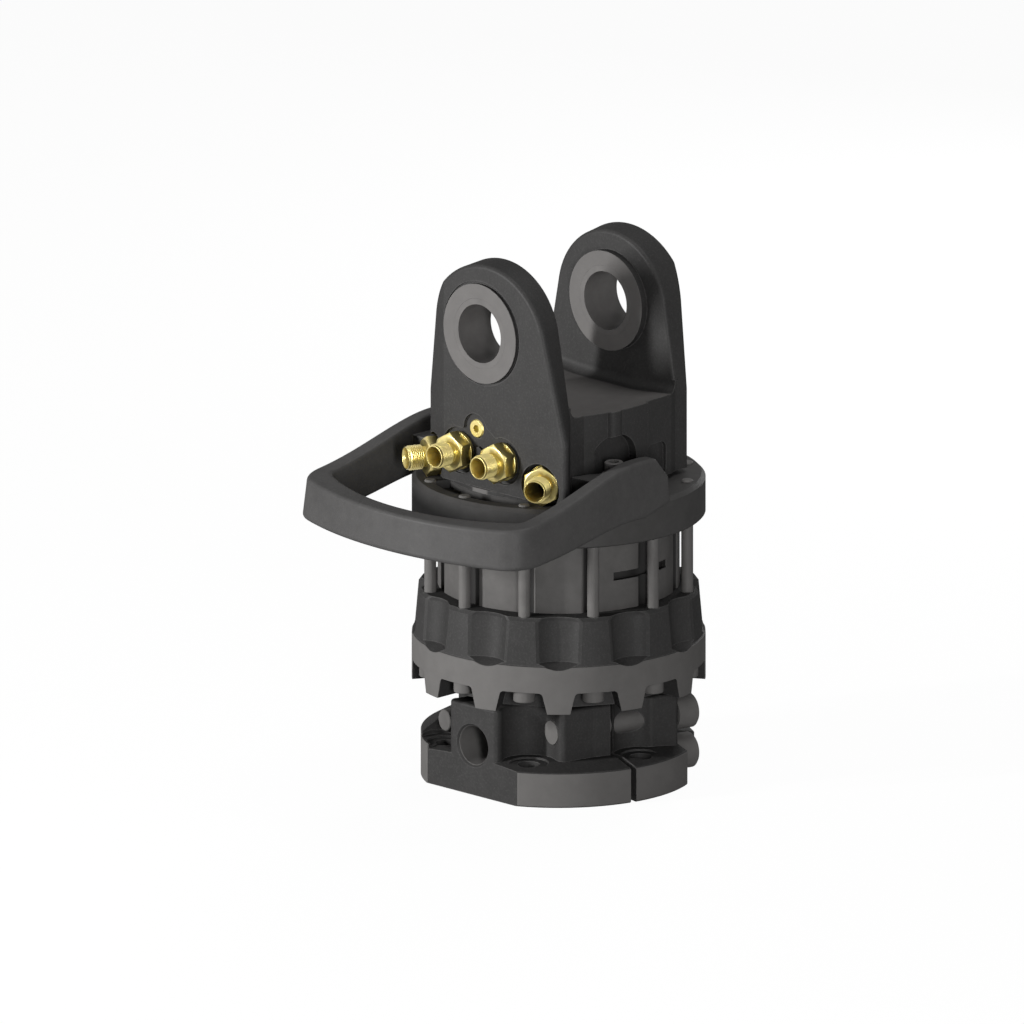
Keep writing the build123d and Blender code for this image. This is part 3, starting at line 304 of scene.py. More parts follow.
def within(tree, value, limit, blur=FACE_BLUR):
    """1 where the value is below the limit, 0 above it."""
    return remap(tree, value, limit - blur, limit + blur, 1.0, 0.0)


def beyond(tree, value, limit, blur=FACE_BLUR):
    """0 where the value is below the limit, 1 above it."""
    return remap(tree, value, limit - blur, limit + blur)


def mix_colour(tree, share, first, second):
    """The first colour where the share is 0, the second where it is 1."""
    a, b, result = COLOUR_SOCKETS
    return add(tree, "ShaderNodeMix", {0: share, a: first, b: second}, data_type="RGBA").outputs[result]


def mix_value(tree, share, first, second):
    """The first value where the share is 0, the second where it is 1."""
    a, b, result = VALUE_SOCKETS
    return add(tree, "ShaderNodeMix", {0: share, a: first, b: second}, data_type="FLOAT").outputs[result]


def object_place(tree):
    return add(tree, "ShaderNodeTexCoord").outputs["Object"]


def object_parts(tree):
    """The x, y and z of the Object coordinate."""
    split = add(tree, "ShaderNodeSeparateXYZ", {0: object_place(tree)})
    return split.outputs[0], split.outputs[1], split.outputs[2]


def distance(tree, a, b):
    """Distance from the axis on which a and b are nought."""
    squares = maths(tree, "ADD", maths(tree, "MULTIPLY", a, a), maths(tree, "MULTIPLY", b, b))
    return maths(tree, "SQRT", squares)


def noise(tree, size, detail=3.0):
    """Noise whose cells are about as large as size."""
    scaled = add(tree, "ShaderNodeVectorMath", {0: object_place(tree), "Scale": 1 / size}, operation="SCALE")
    return add(tree, "ShaderNodeTexNoise", {"Vector": scaled.outputs[0], "Scale": 1.0, "Detail": detail,
                                            "Roughness": NOISE_ROUGHNESS}).outputs["Fac"]


def tinted(colour, strength=1.0):
    """A colour as a socket takes it, lighter or darker by its strength."""
    return [part * strength for part in colour] + [1]


def shade_pair(tree, share, colour, low, high):
    """A colour that varies between two strengths of itself."""
    return mix_colour(tree, share, tinted(colour, low), tinted(colour, high))


# Effects that materials share

def new_group(name, inputs, outputs):
    """An empty node group. It has a float socket for each input, with its default, and for each output."""
    tree = bpy.data.node_groups.new(name, "ShaderNodeTree")
    for label, value in inputs.items():
        socket = tree.interface.new_socket(label, in_out="INPUT", socket_type="NodeSocketFloat")
        socket.default_value = value
    for label in outputs:
        tree.interface.new_socket(label, in_out="OUTPUT", socket_type="NodeSocketFloat")
    return tree, tree.nodes.new("NodeGroupInput"), tree.nodes.new("NodeGroupOutput")


def place_group(tree, name, **inputs):
    """A shared effect placed in a material, with its own values."""
    node = add(tree, "ShaderNodeGroup", node_tree=bpy.data.node_groups[name])
    for key, value in inputs.items():
        node.inputs[key].default_value = value
    return node


def cast_skin_group():
    """The grainy skin of a coated casting: how light it is, its pale specks and its height."""
    blotch_size = 35 * MM
    blotch_detail = 4.0
    blotch_share = 0.55
    patch_size = 9 * MM
    grain_detail = 4.0
    grain_roughness = 0.62
    grain_share = 0.7
    pit_scale = 0.33
    pit_reach = 0.9
    tree, given, out = new_group("cast_skin", {"Grain": bpy.context.scene.rotator_casting.grain},
                                 ("Shade", "Speck", "Height"))
    scaled = add(tree, "ShaderNodeVectorMath", {0: object_place(tree)}, operation="SCALE")
    tree.links.new(maths(tree, "DIVIDE", 1.0, given.outputs["Grain"]), scaled.inputs["Scale"])
    grain = add(tree, "ShaderNodeTexNoise", {"Vector": scaled.outputs[0], "Scale": 1.0,
                                             "Detail": grain_detail, "Roughness": grain_roughness})
    fine = grain.outputs["Fac"]
    pits = add(tree, "ShaderNodeTexVoronoi", {"Vector": scaled.outputs[0], "Scale": pit_scale},
               feature="SMOOTH_F1").outputs["Distance"]
    blotch = maths(tree, "MULTIPLY", noise(tree, blotch_size, blotch_detail), blotch_share)
    patch = maths(tree, "MULTIPLY", noise(tree, patch_size), 1 - blotch_share)
    height = maths(tree, "ADD", maths(tree, "MULTIPLY", fine, grain_share),
                   maths(tree, "MULTIPLY", remap(tree, pits, 0.0, pit_reach), 1 - grain_share))
    tree.links.new(spread(tree, maths(tree, "ADD", blotch, patch)), out.inputs["Shade"])
    tree.links.new(spread(tree, fine), out.inputs["Speck"])
    tree.links.new(height, out.inputs["Height"])


def edge_highlight_group():
    """A mask of the outer edges, in patches, where a highlight is painted into the coat's colour."""
    flat = 0.99
    sharp = 0.86
    highlight_patch_size = 6 * MM
    highlight_patch_low = 0.35
    highlight_patch_high = 0.65
    highlight_patch_least = 0.5
    tree, given, out = new_group("edges", {"Width": bpy.context.scene.rotator_casting.edge}, ("Edge",))
    plain = add(tree, "ShaderNodeNewGeometry").outputs["Normal"]
    rounded = add(tree, "ShaderNodeBevel", {"Radius": given.outputs["Width"]}, samples=6).outputs[0]
    same = add(tree, "ShaderNodeVectorMath", {0: plain, 1: rounded}, operation="DOT_PRODUCT")
    highlight_patches = remap(tree, noise(tree, highlight_patch_size), highlight_patch_low, highlight_patch_high, highlight_patch_least, 1.0)
    # Painted highlight mask: 1 on rounded edges, where the bevelled normal turns away from the face.
    bare = remap(tree, same.outputs["Value"], flat, sharp)
    tree.links.new(maths(tree, "MULTIPLY", bare, highlight_patches), out.inputs["Edge"])


def tool_lines_group():
    """Fine lines of a turned surface, round the turning axis, and the smears between them."""
    smear_size = 18 * MM
    smear_detail = 4.0
    line_detail = 3.0
    line_roughness = 0.7
    tree, given, out = new_group("tool_lines", {"Line": bpy.context.scene.rotator_machined.line},
                                 ("Shade", "Height"))
    x, y, z = object_parts(tree)
    along = maths(tree, "DIVIDE", maths(tree, "ADD", distance(tree, x, y), z), given.outputs["Line"])
    lines = add(tree, "ShaderNodeTexNoise", {"W": along, "Scale": 1.0, "Detail": line_detail,
                                             "Roughness": line_roughness}, noise_dimensions="1D")
    tree.links.new(spread(tree, noise(tree, smear_size, smear_detail)), out.inputs["Shade"])
    tree.links.new(lines.outputs["Fac"], out.inputs["Height"])


# Masks of the faces that differ from the rest of their piece

def boss_zone(tree):
    """The machined round faces on both sides of the ears, and the saddle between them."""
    x, y, z = object_parts(tree)
    depth = maths(tree, "ABSOLUTE", y)
    outer = beyond(tree, depth, BOSS_OUTER - FACE_SLACK)
    from_pin = distance(tree, x, maths(tree, "SUBTRACT", z, PIN_HEIGHT))
    inner = maths(tree, "MULTIPLY", within(tree, depth, BOSS_INNER + FACE_SLACK),
                  within(tree, from_pin, BOSS_RADIUS + FACE_SLACK))
    height = maths(tree, "SUBTRACT", z, SADDLE_LOW)
    curved = maths(tree, "MULTIPLY", beyond(tree, height, -FACE_SLACK), within(tree, height, SADDLE_SAG))
    normal = add(tree, "ShaderNodeNewGeometry").outputs["Normal"]
    upward = add(tree, "ShaderNodeSeparateXYZ", {0: normal}).outputs[2]
    level = maths(tree, "MULTIPLY", curved, maths(tree, "GREATER_THAN", upward, LEVEL_NORMAL))
    saddle = maths(tree, "MULTIPLY", level, within(tree, depth, EAR_GAP / 2 - SADDLE_COVE, SADDLE_BLUR))
    return maths(tree, "MAXIMUM", maths(tree, "MAXIMUM", outer, inner), saddle)


def band_zone(tree):
    """The turned band round the lower housing, with the faces of its teeth."""
    x, y, z = object_parts(tree)
    low = within(tree, z, BAND_TOP - FACE_SLACK)
    return maths(tree, "MULTIPLY", low, beyond(tree, distance(tree, x, y), HOUSING_RADIUS - FACE_SLACK))


def rim_zone(tree):
    """The bracket's turned rim, its bottom face and its windows."""
    x, y, z = object_parts(tree)
    rim = beyond(tree, distance(tree, x, y), BRACKET_RADIUS - FACE_SLACK)
    bottom = within(tree, z, FACE_SLACK)
    from_window = distance(tree, x, maths(tree, "SUBTRACT", z, WINDOW_HEIGHT))
    window = within(tree, from_window, WINDOW_RADIUS + FACE_SLACK)
    return maths(tree, "MAXIMUM", maths(tree, "MAXIMUM", rim, bottom), window)


def groove_shade_zone(tree):
    """The stator's grooves and its slot, where shade is painted into the colour."""
    x, y, _ = object_parts(tree)
    return within(tree, distance(tree, x, y), STATOR_RADIUS - GROOVE_DEPTH)


# Finishes

def new_material(name, **fixed):
    """A material with a Principled shader, whose fixed values stand on the shader's own sockets."""
    material = bpy.data.materials.new(name)
    material.use_nodes = True
    tree = material.node_tree
    tree.nodes.clear()
    shader = add(tree, "ShaderNodeBsdfPrincipled", fixed)
    out = add(tree, "ShaderNodeOutputMaterial")
    tree.links.new(shader.outputs[0], out.inputs[0])
    return material, tree, shader


def shine(weight, roughness):
    """A thin coat with an even reflection, over a surface that has none of its own."""
    return {"Specular IOR Level": 0.0, "Coat Weight": weight, "Coat Roughness": roughness, "Coat IOR": 3.0}


def surface(tree, shader, colour, roughness, height, depth, edge):
    """The shader gets its colour, its roughness, and a bump that is depth high, on softened edges."""
    rounded = add(tree, "ShaderNodeBevel", {"Radius": edge}, samples=4).outputs[0]
    bump = add(tree, "ShaderNodeBump", {"Height": height, "Distance": depth, "Strength": 1.0,
                                        "Normal": rounded})
    tree.links.new(colour, shader.inputs["Base Color"])
    tree.links.new(roughness, shader.inputs["Roughness"])
    tree.links.new(bump.outputs[0], shader.inputs["Normal"])


def casting_material(name, zone=None, face_colour=None, light=1.0, smooth=0.0):
    """Black-coated casting. zone(tree) returns a mask of its machined faces, which have face_colour."""
    cast = bpy.context.scene.rotator_casting
    cut = bpy.context.scene.rotator_machined
    dark_skin = 0.85 * light
    light_skin = 1.1 * light
    light_speck = 1.8 * light
    speck_start = 0.5
    speck_share = 0.4 - 2 * smooth
    sleek_skin = cast.roughness - smooth - 0.08
    dull_skin = cast.roughness - smooth + 0.12
    dark_face = 0.94
    light_face = 1.06
    sleek_face = cut.roughness - 0.04
    dull_face = cut.roughness + 0.06
    material, tree, shader = new_material(name, **shine(cast.wax, cast.wax_roughness))
    skin = place_group(tree, "cast_skin", Grain=cast.grain).outputs
    edges = place_group(tree, "edges", Width=cast.edge).outputs["Edge"]
    specks = remap(tree, skin["Speck"], speck_start, 1.0, 0.0, speck_share)
    colour = shade_pair(tree, skin["Shade"], cast.colour, dark_skin, light_skin)
    colour = mix_colour(tree, specks, colour, tinted(cast.colour, light_speck))
    # Painted highlight along the edges: the coat's colour is lightened there.
    colour = mix_colour(tree, edges, colour, tinted(cast.colour, cast.edge_highlight * light))
    rough = remap(tree, skin["Speck"], 0, 1, sleek_skin, dull_skin)
    height = maths(tree, "MULTIPLY", skin["Height"], cast.grain_depth * (1 - 2 * smooth))
    edge = cast.edge
    if zone:
        mask = zone(tree)
        lines = place_group(tree, "tool_lines", Line=cut.line).outputs
        face = shade_pair(tree, lines["Shade"], face_colour, dark_face, light_face)
        colour = mix_colour(tree, mask, colour, face)
        rough = mix_value(tree, mask, rough, remap(tree, lines["Shade"], 0, 1, sleek_face, dull_face))
        height = mix_value(tree, mask, height, maths(tree, "MULTIPLY", lines["Height"], cut.line_depth))
        edge = cut.edge
    surface(tree, shader, colour, rough, height, 1.0, edge)
    return material


def machined_material(name, colour, roughness, metallic=0.0, shade_zone=None):
    """Turned or blackened metal. Its last argument returns a mask of the grooves, where shade is painted
    into the colour.
    """
    cut = bpy.context.scene.rotator_machined
    dark_face = 0.9
    light_face = 1.1
    # How dark the painted shade in the grooves is, as a share of the colour.
    black = 0.2
    sleek = roughness - 0.05
    dull = roughness + 0.06
    fixed = {"Metallic": metallic} if metallic else shine(cut.oil, cut.oil_roughness)
    material, tree, shader = new_material(name, **fixed)
    lines = place_group(tree, "tool_lines", Line=cut.line).outputs
    face = shade_pair(tree, lines["Shade"], colour, dark_face, light_face)
    if shade_zone:
        # Painted shade: the masked grooves are darkened to a fifth of the colour.
        face = mix_colour(tree, shade_zone(tree), face, tinted(colour, black))
    rough = remap(tree, lines["Shade"], 0, 1, sleek, dull)
    surface(tree, shader, face, rough, lines["Height"], cut.line_depth, cut.edge)
    return material


def zinc_material():
    """Yellow-passivated zinc, with a film that turns greenish in places."""
    zinc = bpy.context.scene.rotator_zinc
    film_size = 6 * MM
    film_detail = 4.0
    scratch_size = 0.6 * MM
    scratch_detail = 2.0
    scratch_depth = 0.003 * MM
    edge = 0.3 * MM
    greenish = (0.88, 0.95, 0.8)
    sleek = zinc.roughness - 0.06
    dull = zinc.roughness + 0.08
    material, tree, shader = new_material("yellow_zinc", Metallic=1.0)
    film = spread(tree, noise(tree, film_size, film_detail))
    green = [part * share for part, share in zip(zinc.colour, greenish)] + [1]
    colour = mix_colour(tree, film, tinted(zinc.colour), green)
    rough = remap(tree, film, 0, 1, sleek, dull)
    surface(tree, shader, colour, rough, noise(tree, scratch_size, scratch_detail), scratch_depth, edge)
    return material


def rubber_material():
    """Black rubber with a little dust."""
    dust_size = 8 * MM
    dust_detail = 4.0
    dust_depth = 0.02 * MM
    edge = 0.4 * MM
    clean = 0.8
    dusty = 1.4
    sleek = 0.55
    dull = 0.72
    material, tree, shader = new_material("seal_rubber")
    dust = spread(tree, noise(tree, dust_size, dust_detail))
    colour = shade_pair(tree, dust, bpy.context.scene.rotator_inner.rubber, clean, dusty)
    surface(tree, shader, colour, remap(tree, dust, 0, 1, sleek, dull), dust, dust_depth, edge)
    return material


def paint(material, *names):
    """The CAD nodes get the material, and their meshes stay as they are."""
    for name in names:
        mesh = NODES[name].data
        mesh.materials.clear()
        mesh.materials.append(material)


# Meshes the script makes

def only(obj):
    """The object alone is selected, and active."""
    bpy.ops.object.select_all(action="DESELECT")
    obj.select_set(True)
    bpy.context.view_layer.objects.active = obj


def turned_piece(name, points, steps):
    """A solid turned about Z from its half section, radius and height in turn."""
    mesh = bpy.data.meshes.new(name)
    obj = bpy.data.objects.new(name, mesh)
    bpy.context.scene.collection.objects.link(obj)
    mesh.from_pydata([(r, 0, z) for r, z in points], [(i, i + 1) for i in range(len(points) - 1)], [])
    only(obj)
    bpy.ops.object.mode_set(mode="EDIT")
    bpy.ops.mesh.select_all(action="SELECT")
    bpy.ops.mesh.spin(steps=steps, angle=2 * math.pi, center=(0, 0, 0), axis=(0, 0, 1))
    bpy.ops.mesh.select_all(action="SELECT")
    bpy.ops.mesh.remove_doubles(threshold=MERGE_GAP)
    bpy.ops.mesh.normals_make_consistent(inside=False)
    bpy.ops.object.mode_set(mode="OBJECT")
    return obj


def apply_boolean(obj, other, operation):
    """The other piece is used up."""
    only(obj)
    modifier = obj.modifiers.new("cut", "BOOLEAN")
    modifier.object = other
    modifier.operation = operation
    modifier.solver = "EXACT"
    bpy.ops.object.modifier_apply(modifier="cut")
    bpy.data.objects.remove(other)


def join(objects, name):
    """The first object takes in the others, and the name."""
    bpy.ops.object.select_all(action="DESELECT")
    for obj in objects:
        obj.select_set(True)
    bpy.context.view_layer.objects.active = objects[0]
    bpy.ops.object.join()
    objects[0].name = name
    return objects[0]


def hexagon_low(size):
    """Height of the hexagon's bottom above the adapter's seat."""
    return size.seal + size.collar


def hexagon_high(size):
    return hexagon_low(size) + size.hex_length


def nose_start(size):
    """Height at which the threaded nose starts."""
    return hexagon_high(size) + size.neck


def adapter_body(size):
    """Collar, neck, threaded nose and bore, turned in one. The thread is a row of rings."""
    hex_low = hexagon_low(size)
    nose_low = nose_start(size)
    chamfer = size.collar_chamfer
    root = size.tip_radius - size.thread_depth
    points = [(size.bore_radius, size.seal), (size.collar_radius - chamfer, size.seal),
              (size.collar_radius, size.seal + chamfer), (size.collar_radius, hex_low - chamfer),
              (size.collar_radius - chamfer, hex_low), (size.neck_radius, hex_low + size.collar_slope),
              (size.neck_radius, nose_low), (size.tip_radius - size.neck_relief, nose_low)]
    z = nose_low + size.thread_start
    for _ in range(int((size.length - nose_low - size.thread_ends) / size.pitch)):
        crest = z + (size.pitch - size.thread_crest) / 2
        points += [(root, z), (size.tip_radius, crest), (size.tip_radius, crest + size.thread_crest)]
        z += size.pitch
    rim = size.tip_radius - size.rim_relief
    points += [(root, z), (rim + size.rim_chamfer, size.length - size.rim_chamfer),
               (rim, size.length), (size.bore_radius + size.cone_rise, size.length),
               (size.bore_radius, size.length - size.cone_depth), (size.bore_radius, size.seal)]
    return turned_piece("adapter_body", points, size.steps)


def adapter_nut(size):
    """The hexagon, with its corners turned off at the top and its edges bevelled."""
    hex_low = hexagon_low(size)
    hex_high = hexagon_high(size)
    flat = size.hex_width / 2
    corner = flat / math.cos(math.pi / HEX_SIDES)
    slope = (corner - flat) * math.tan(HEX_CHAMFER)
    bpy.ops.object.select_all(action="DESELECT")
    bpy.ops.mesh.primitive_cylinder_add(vertices=HEX_SIDES, radius=corner, depth=size.hex_length,
                                        location=(0, 0, (hex_low + hex_high) / 2))
    nut = bpy.context.object
    wide = corner + CUT_OVERRUN
    below = hex_low - CUT_OVERRUN
    above = hex_high + CUT_OVERRUN
    dome = turned_piece("nut_dome", [(0, below), (wide, below), (wide, hex_high - slope - size.hex_turning),
                                     (flat - size.hex_turning, hex_high), (0, hex_high)], size.steps)
    apply_boolean(nut, dome, "INTERSECT")
    inside = size.neck_radius - size.hex_overlap
    hole = turned_piece("nut_hole", [(0, below), (inside, below), (inside, above), (0, above)], size.steps)
    apply_boolean(nut, hole, "DIFFERENCE")
    only(nut)
    bevel = nut.modifiers.new("edge", "BEVEL")
    bevel.width = size.hex_edge
    bevel.segments = 2
    bevel.limit_method = "ANGLE"
    bevel.angle_limit = BEVEL_ANGLE
    bpy.ops.object.modifier_apply(modifier="edge")
    return nut


def adapter_matrix(size, mount):
    """From the adapter's own frame to its place on the housing. The mount lies in the thread's middle."""
    nose_high = size.length - size.tip_chamfer
    axis = Vector(mount["axis"]).normalized()
    side = Vector((0, 0, 1)).cross(axis).normalized()
    turn = Matrix((side, axis.cross(side), axis)).transposed().to_4x4()
    seat = Vector(mount["pos_m"]) - axis * (nose_start(size) + nose_high) / 2
    return Matrix.Translation(seat) @ turn


def placed_copy(pattern, matrix):
    """A copy with a mesh of its own, which holds its place."""
    copy = pattern.copy()
    copy.data = pattern.data.copy()
    bpy.context.scene.collection.objects.link(copy)
    copy.matrix_world = matrix
    bpy.context.view_layer.update()
    only(copy)
    bpy.ops.object.transform_apply(location=True, rotation=True, scale=True)
    return copy


def finish_piece(obj, material, body, slot, *nodes):
    only(obj)
    bpy.ops.object.shade_smooth_by_angle(angle=SHARP_ANGLE)
    obj.data.materials.clear()
    obj.data.materials.append(material)
    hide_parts(*nodes)
    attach(obj, body)


# Stage

def studio_light(name, power, place, width, height):
    """A rectangular light that the camera doesn't see."""
    data = bpy.data.lights.new(name, "AREA")
    data.shape = "RECTANGLE"
    data.size = width
    data.size_y = height
    data.energy = power
    lamp = bpy.data.objects.new(name, data)
    lamp.location = place
    lamp.rotation_euler = (AIM - Vector(place)).to_track_quat("-Z", "Y").to_euler()
    lamp.visible_camera = False
    bpy.context.scene.collection.objects.link(lamp)


def studio_camera(stage):
    """A parallel view, turned and raised by the stage's angles."""
    turn = stage.azimuth
    rise = stage.elevation
    right = Vector((math.cos(turn), math.sin(turn), 0))
    back = Vector((math.sin(turn) * math.cos(rise), -math.cos(turn) * math.cos(rise), math.sin(rise)))
    up = back.cross(right)
    place = right * stage.centre_right + up * stage.centre_up + back * CAMERA_DISTANCE
    data = bpy.data.cameras.new("camera")
    data.type = "ORTHO"
    data.ortho_scale = stage.width
    data.clip_end = CAMERA_REACH
    camera = bpy.data.objects.new("camera", data)
    camera.matrix_world = Matrix.Translation(place) @ Matrix((right, up, back)).transposed().to_4x4()
    bpy.context.scene.collection.objects.link(camera)
    bpy.context.scene.camera = camera


def seen_or_lighting(tree, seen, lighting):
    """One shader for the rays that show it, from the camera, gloss or glass, and one for all others."""
    path = add(tree, "ShaderNodeLightPath").outputs
    shown = maths(tree, "MAXIMUM", path["Is Camera Ray"], path["Is Glossy Ray"])
    shown = maths(tree, "MAXIMUM", shown, path["Is Transmission Ray"])
    both = add(tree, "ShaderNodeMixShader", {0: shown, 1: lighting.outputs[0], 2: seen.outputs[0]})
    return both.outputs[0]


def surroundings(stage):
    """White where they are seen, and dim where they light the object."""
    world = bpy.data.worlds.new("studio")
    world.use_nodes = True
    tree = world.node_tree
    tree.nodes.clear()
    plain = add(tree, "ShaderNodeBackground", {"Color": tinted((1, 1, 1)), "Strength": stage.ambient})
    white = add(tree, "ShaderNodeBackground", {"Color": tinted((1, 1, 1)), "Strength": 1.0})
    out = add(tree, "ShaderNodeOutputWorld")
    tree.links.new(seen_or_lighting(tree, white, plain), out.inputs[0])
    bpy.context.scene.world = world


def floor_material(stage):
    """Pale floor that looks white and keeps the object's shadow."""
    material = bpy.data.materials.new("floor_white")
    material.use_nodes = True
    tree = material.node_tree
    tree.nodes.clear()
    plain = add(tree, "ShaderNodeBsdfDiffuse", {"Color": tinted((1, 1, 1), stage.floor)})
    pale = add(tree, "ShaderNodeBsdfDiffuse", {"Color": tinted((1, 1, 1), stage.floor_paint)})
    glow = add(tree, "ShaderNodeEmission", {"Color": tinted((1, 1, 1)), "Strength": 1.0})
    shown = add(tree, "ShaderNodeMixShader", {0: stage.glow, 1: pale.outputs[0], 2: glow.outputs[0]})
    out = add(tree, "ShaderNodeOutputMaterial")
    tree.links.new(seen_or_lighting(tree, shown, plain), out.inputs[0])
    return material


def studio_floor(stage):
    """A plain floor under the object, which isn't part of it."""
    bpy.ops.object.select_all(action="DESELECT")
    bpy.ops.mesh.primitive_plane_add(size=FLOOR_WIDTH, location=(0, 0, 0))
    floor = bpy.context.object
    floor.name = "floor"
    floor.data.materials.append(floor_material(stage))


# Operators

class ROTATOR_OT_effects(bpy.types.Operator):
    """Build the effects that the materials share"""
    bl_idname = "rotator.effects"
    bl_label = "Shared effects"

    def execute(self, context):
        cast_skin_group()
        edge_highlight_group()
        tool_lines_group()
        return {"FINISHED"}


class ROTATOR_OT_link_housing(bpy.types.Operator):
    """Coat the link housing, with machined bosses and saddle"""
    bl_idname = "rotator.link_housing"
    bl_label = "Link housing"

    def execute(self, context):
        seat = context.scene.rotator_machined.seat_colour
        paint(casting_material("link_casting", boss_zone, seat), "link_housing")
        return {"FINISHED"}


class ROTATOR_OT_hose_guard(bpy.types.Operator):
    """Coat the hose guard, which is smoother and lighter than the other castings"""
    bl_idname = "rotator.hose_guard"
    bl_label = "Hose guard"

    def execute(self, context):
        cast = context.scene.rotator_casting
        skin = casting_material("guard_casting", light=cast.guard_light, smooth=cast.guard_smooth)
        paint(skin, "hose_guard")
        return {"FINISHED"}


class ROTATOR_OT_lower_housing(bpy.types.Operator):
    """Coat the lower housing, with a turned band"""
    bl_idname = "rotator.lower_housing"
    bl_label = "Lower housing"

    def execute(self, context):
        face = context.scene.rotator_machined.colour
        paint(casting_material("housing_casting", band_zone, face), "lower_housing")
        return {"FINISHED"}


class ROTATOR_OT_lower_bracket(bpy.types.Operator):
    """Coat the bracket, with a turned rim, bottom and windows"""
    bl_idname = "rotator.lower_bracket"
    bl_label = "Lower bracket"

    def execute(self, context):
        face = context.scene.rotator_machined.colour
        paint(casting_material("bracket_casting", rim_zone, face), "lower_bracket")
        return {"FINISHED"}


class ROTATOR_OT_pin_bushes(bpy.types.Operator):
    """Finish the pin bushes like the bosses round them"""
    bl_idname = "rotator.pin_bushes"
    bl_label = "Pin bushes"

    def execute(self, context):
        cut = context.scene.rotator_machined
        face = machined_material("faced_bush", cut.seat_colour, cut.roughness)
        paint(face, "front_pin_bush", "rear_pin_bush")
        return {"FINISHED"}


class ROTATOR_OT_screws(bpy.types.Operator):
    """Blacken the bolts, washers and lock pin"""
    bl_idname = "rotator.screws"
    bl_label = "Screws"

    def execute(self, context):
        cut = context.scene.rotator_machined
        steel = machined_material("blackened_steel", cut.colour, cut.roughness)
        paint(steel, "tie_bolts", "link_bolts", "guard_bolts", "guard_washers", "clamp_bolts", "lock_pin")
        return {"FINISHED"}


class ROTATOR_OT_upper_flange(bpy.types.Operator):
    """Blacken the upper flange"""
    bl_idname = "rotator.upper_flange"
    bl_label = "Upper flange"

    def execute(self, context):
        cut = context.scene.rotator_machined
        paint(machined_material("black_flange", cut.flange_colour, cut.roughness), "upper_flange")
        return {"FINISHED"}


class ROTATOR_OT_stator_ring(bpy.types.Operator):
    """Finish the stator ring, with shade painted into its grooves and slot"""
    bl_idname = "rotator.stator_ring"
    bl_label = "Stator ring"

    def execute(self, context):
        cut = context.scene.rotator_machined
        colour = [part * cut.honed_light for part in cut.colour]
        honed = machined_material("honed_stator", colour, cut.roughness - cut.honing, shade_zone=groove_shade_zone)
        paint(honed, "stator_ring")
        return {"FINISHED"}


class ROTATOR_OT_inner_parts(bpy.types.Operator):
    """Finish the shaft, motor and bearing parts in bare steel and bronze"""
    bl_idname = "rotator.inner_parts"
    bl_label = "Inner parts"

    def execute(self, context):
        inner = context.scene.rotator_inner
        steel = machined_material("bare_steel", inner.steel, inner.steel_roughness, metallic=1.0)
        bronze = machined_material("bearing_bronze", inner.bronze, inner.bronze_roughness, metallic=1.0)
        paint(steel, "output_shaft", "rotor", "rotor_keys", "vanes", "vane_springs")
        paint(steel, "dowel_pins", "motor_base")
        paint(steel, "bearing_outer_ring", "bearing_inner_ring", "bearing_balls", "bearing_ring_nut")
        paint(bronze, "upper_wear_plate", "lower_wear_plate", "bearing_cage", "shaft_bush")
        return {"FINISHED"}


class ROTATOR_OT_seals(bpy.types.Operator):
    """Finish the seals in rubber"""
    bl_idname = "rotator.seals"
    bl_label = "Seals"

    def execute(self, context):
        rubber = rubber_material()
        paint(rubber, "adapter_seal_rings", "joint_seal", "upper_stator_seal", "lower_stator_seal")
        paint(rubber, "swivel_seals", "shaft_seal", "dust_seal")
        return {"FINISHED"}


class ROTATOR_OT_port_fittings(bpy.types.Operator):
    """Model the threaded port adapters, and plate them and the plug"""
    bl_idname = "rotator.port_fittings"
    bl_label = "Port fittings"

    def execute(self, context):
        size = context.scene.rotator_adapter
        zinc = zinc_material()
        pattern = join([adapter_body(size), adapter_nut(size)], "adapter")
        for name, kind in (("tool_adapters", "tool_port"), ("motor_adapters", "motor_port")):
            places = [adapter_matrix(size, MOUNTS[f"{kind}_{side}"]) for side in ("left", "right")]
            pair = join([placed_copy(pattern, place) for place in places], name)
            finish_piece(pair, zinc, "upper", "yellow_zinc", f"{kind}_adapters")
        bpy.data.objects.remove(pattern)
        paint(zinc, "test_plug")
        return {"FINISHED"}


class ROTATOR_OT_stage(bpy.types.Operator):
    """Set up the floor, the lights and the camera"""
    bl_idname = "rotator.stage"
    bl_label = "Stage"

    def execute(self, context):
        stage = context.scene.rotator_stage
        studio_floor(stage)
        studio_camera(stage)
        for name, lamp in LAMPS.items():
            studio_light(name, getattr(stage, name), **lamp)
        surroundings(stage)
        context.scene.view_settings.view_transform = "Standard"
        return {"FINISHED"}


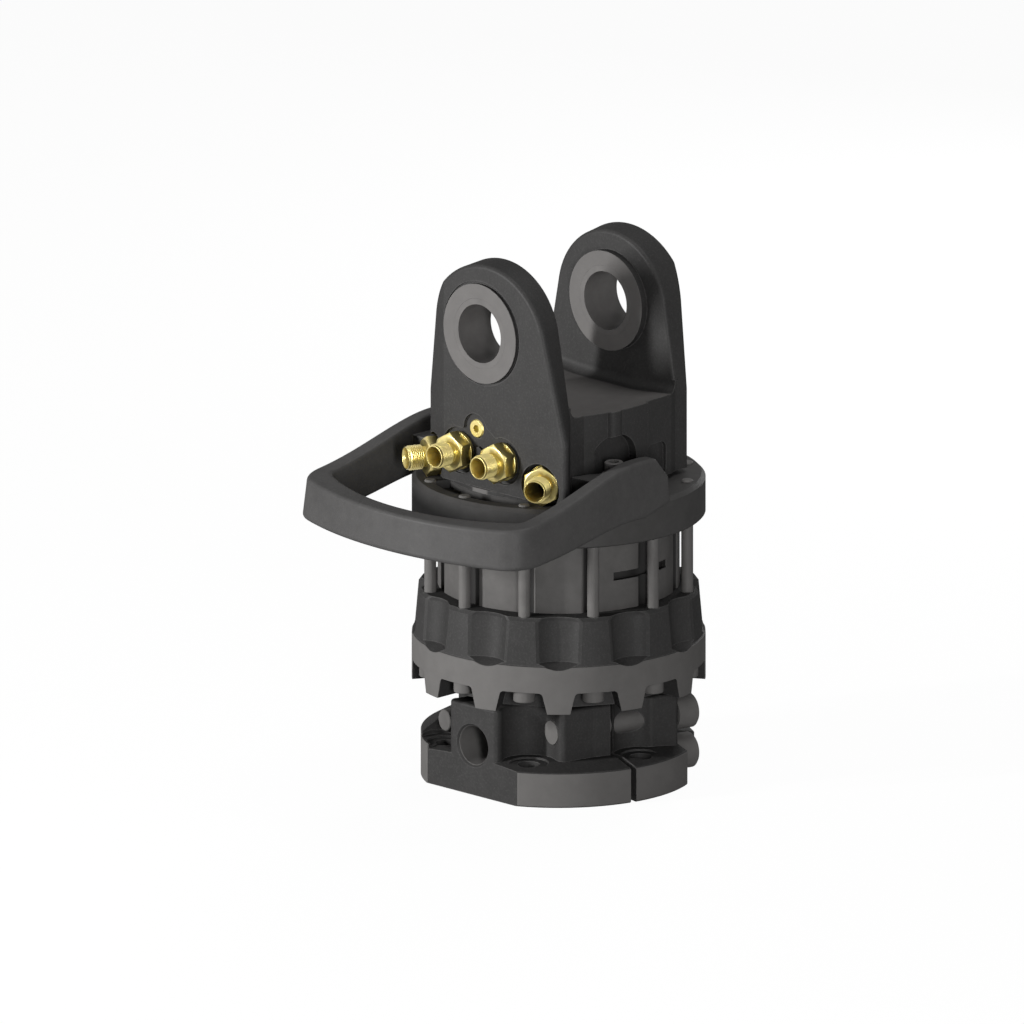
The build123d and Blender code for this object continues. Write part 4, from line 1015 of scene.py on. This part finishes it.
class ROTATOR_PT_panel(bpy.types.Panel):
    """A button for each group of pieces"""
    bl_idname = "ROTATOR_PT_panel"
    bl_label = "Rotator"
    bl_space_type = "VIEW_3D"
    bl_region_type = "UI"
    bl_category = "Rotator"

    def draw(self, context):
        for operator in OPERATORS:
            self.layout.operator(operator.bl_idname)


GROUPS = {
    "rotator_casting": RotatorCasting,
    "rotator_machined": RotatorMachined,
    "rotator_inner": RotatorInner,
    "rotator_zinc": RotatorZinc,
    "rotator_adapter": RotatorAdapter,
    "rotator_stage": RotatorStage,
}
OPERATORS = (
    ROTATOR_OT_effects,
    ROTATOR_OT_link_housing,
    ROTATOR_OT_hose_guard,
    ROTATOR_OT_lower_housing,
    ROTATOR_OT_lower_bracket,
    ROTATOR_OT_pin_bushes,
    ROTATOR_OT_screws,
    ROTATOR_OT_upper_flange,
    ROTATOR_OT_stator_ring,
    ROTATOR_OT_inner_parts,
    ROTATOR_OT_seals,
    ROTATOR_OT_port_fittings,
    ROTATOR_OT_stage,
)


def register():
    for name, group in GROUPS.items():
        bpy.utils.register_class(group)
        setattr(bpy.types.Scene, name, PointerProperty(type=group))
    for operator in OPERATORS:
        bpy.utils.register_class(operator)
    bpy.utils.register_class(ROTATOR_PT_panel)


def unregister():
    bpy.utils.unregister_class(ROTATOR_PT_panel)
    for operator in reversed(OPERATORS):
        bpy.utils.unregister_class(operator)
    for name, group in GROUPS.items():
        delattr(bpy.types.Scene, name)
        bpy.utils.unregister_class(group)


def main():
    register()
    bpy.ops.rotator.effects()
    bpy.ops.rotator.link_housing()
    bpy.ops.rotator.hose_guard()
    bpy.ops.rotator.lower_housing()
    bpy.ops.rotator.lower_bracket()
    bpy.ops.rotator.pin_bushes()
    bpy.ops.rotator.screws()
    bpy.ops.rotator.upper_flange()
    bpy.ops.rotator.stator_ring()
    bpy.ops.rotator.inner_parts()
    bpy.ops.rotator.seals()
    bpy.ops.rotator.port_fittings()
    bpy.ops.rotator.stage()


if __name__ == "__main__":
    main()
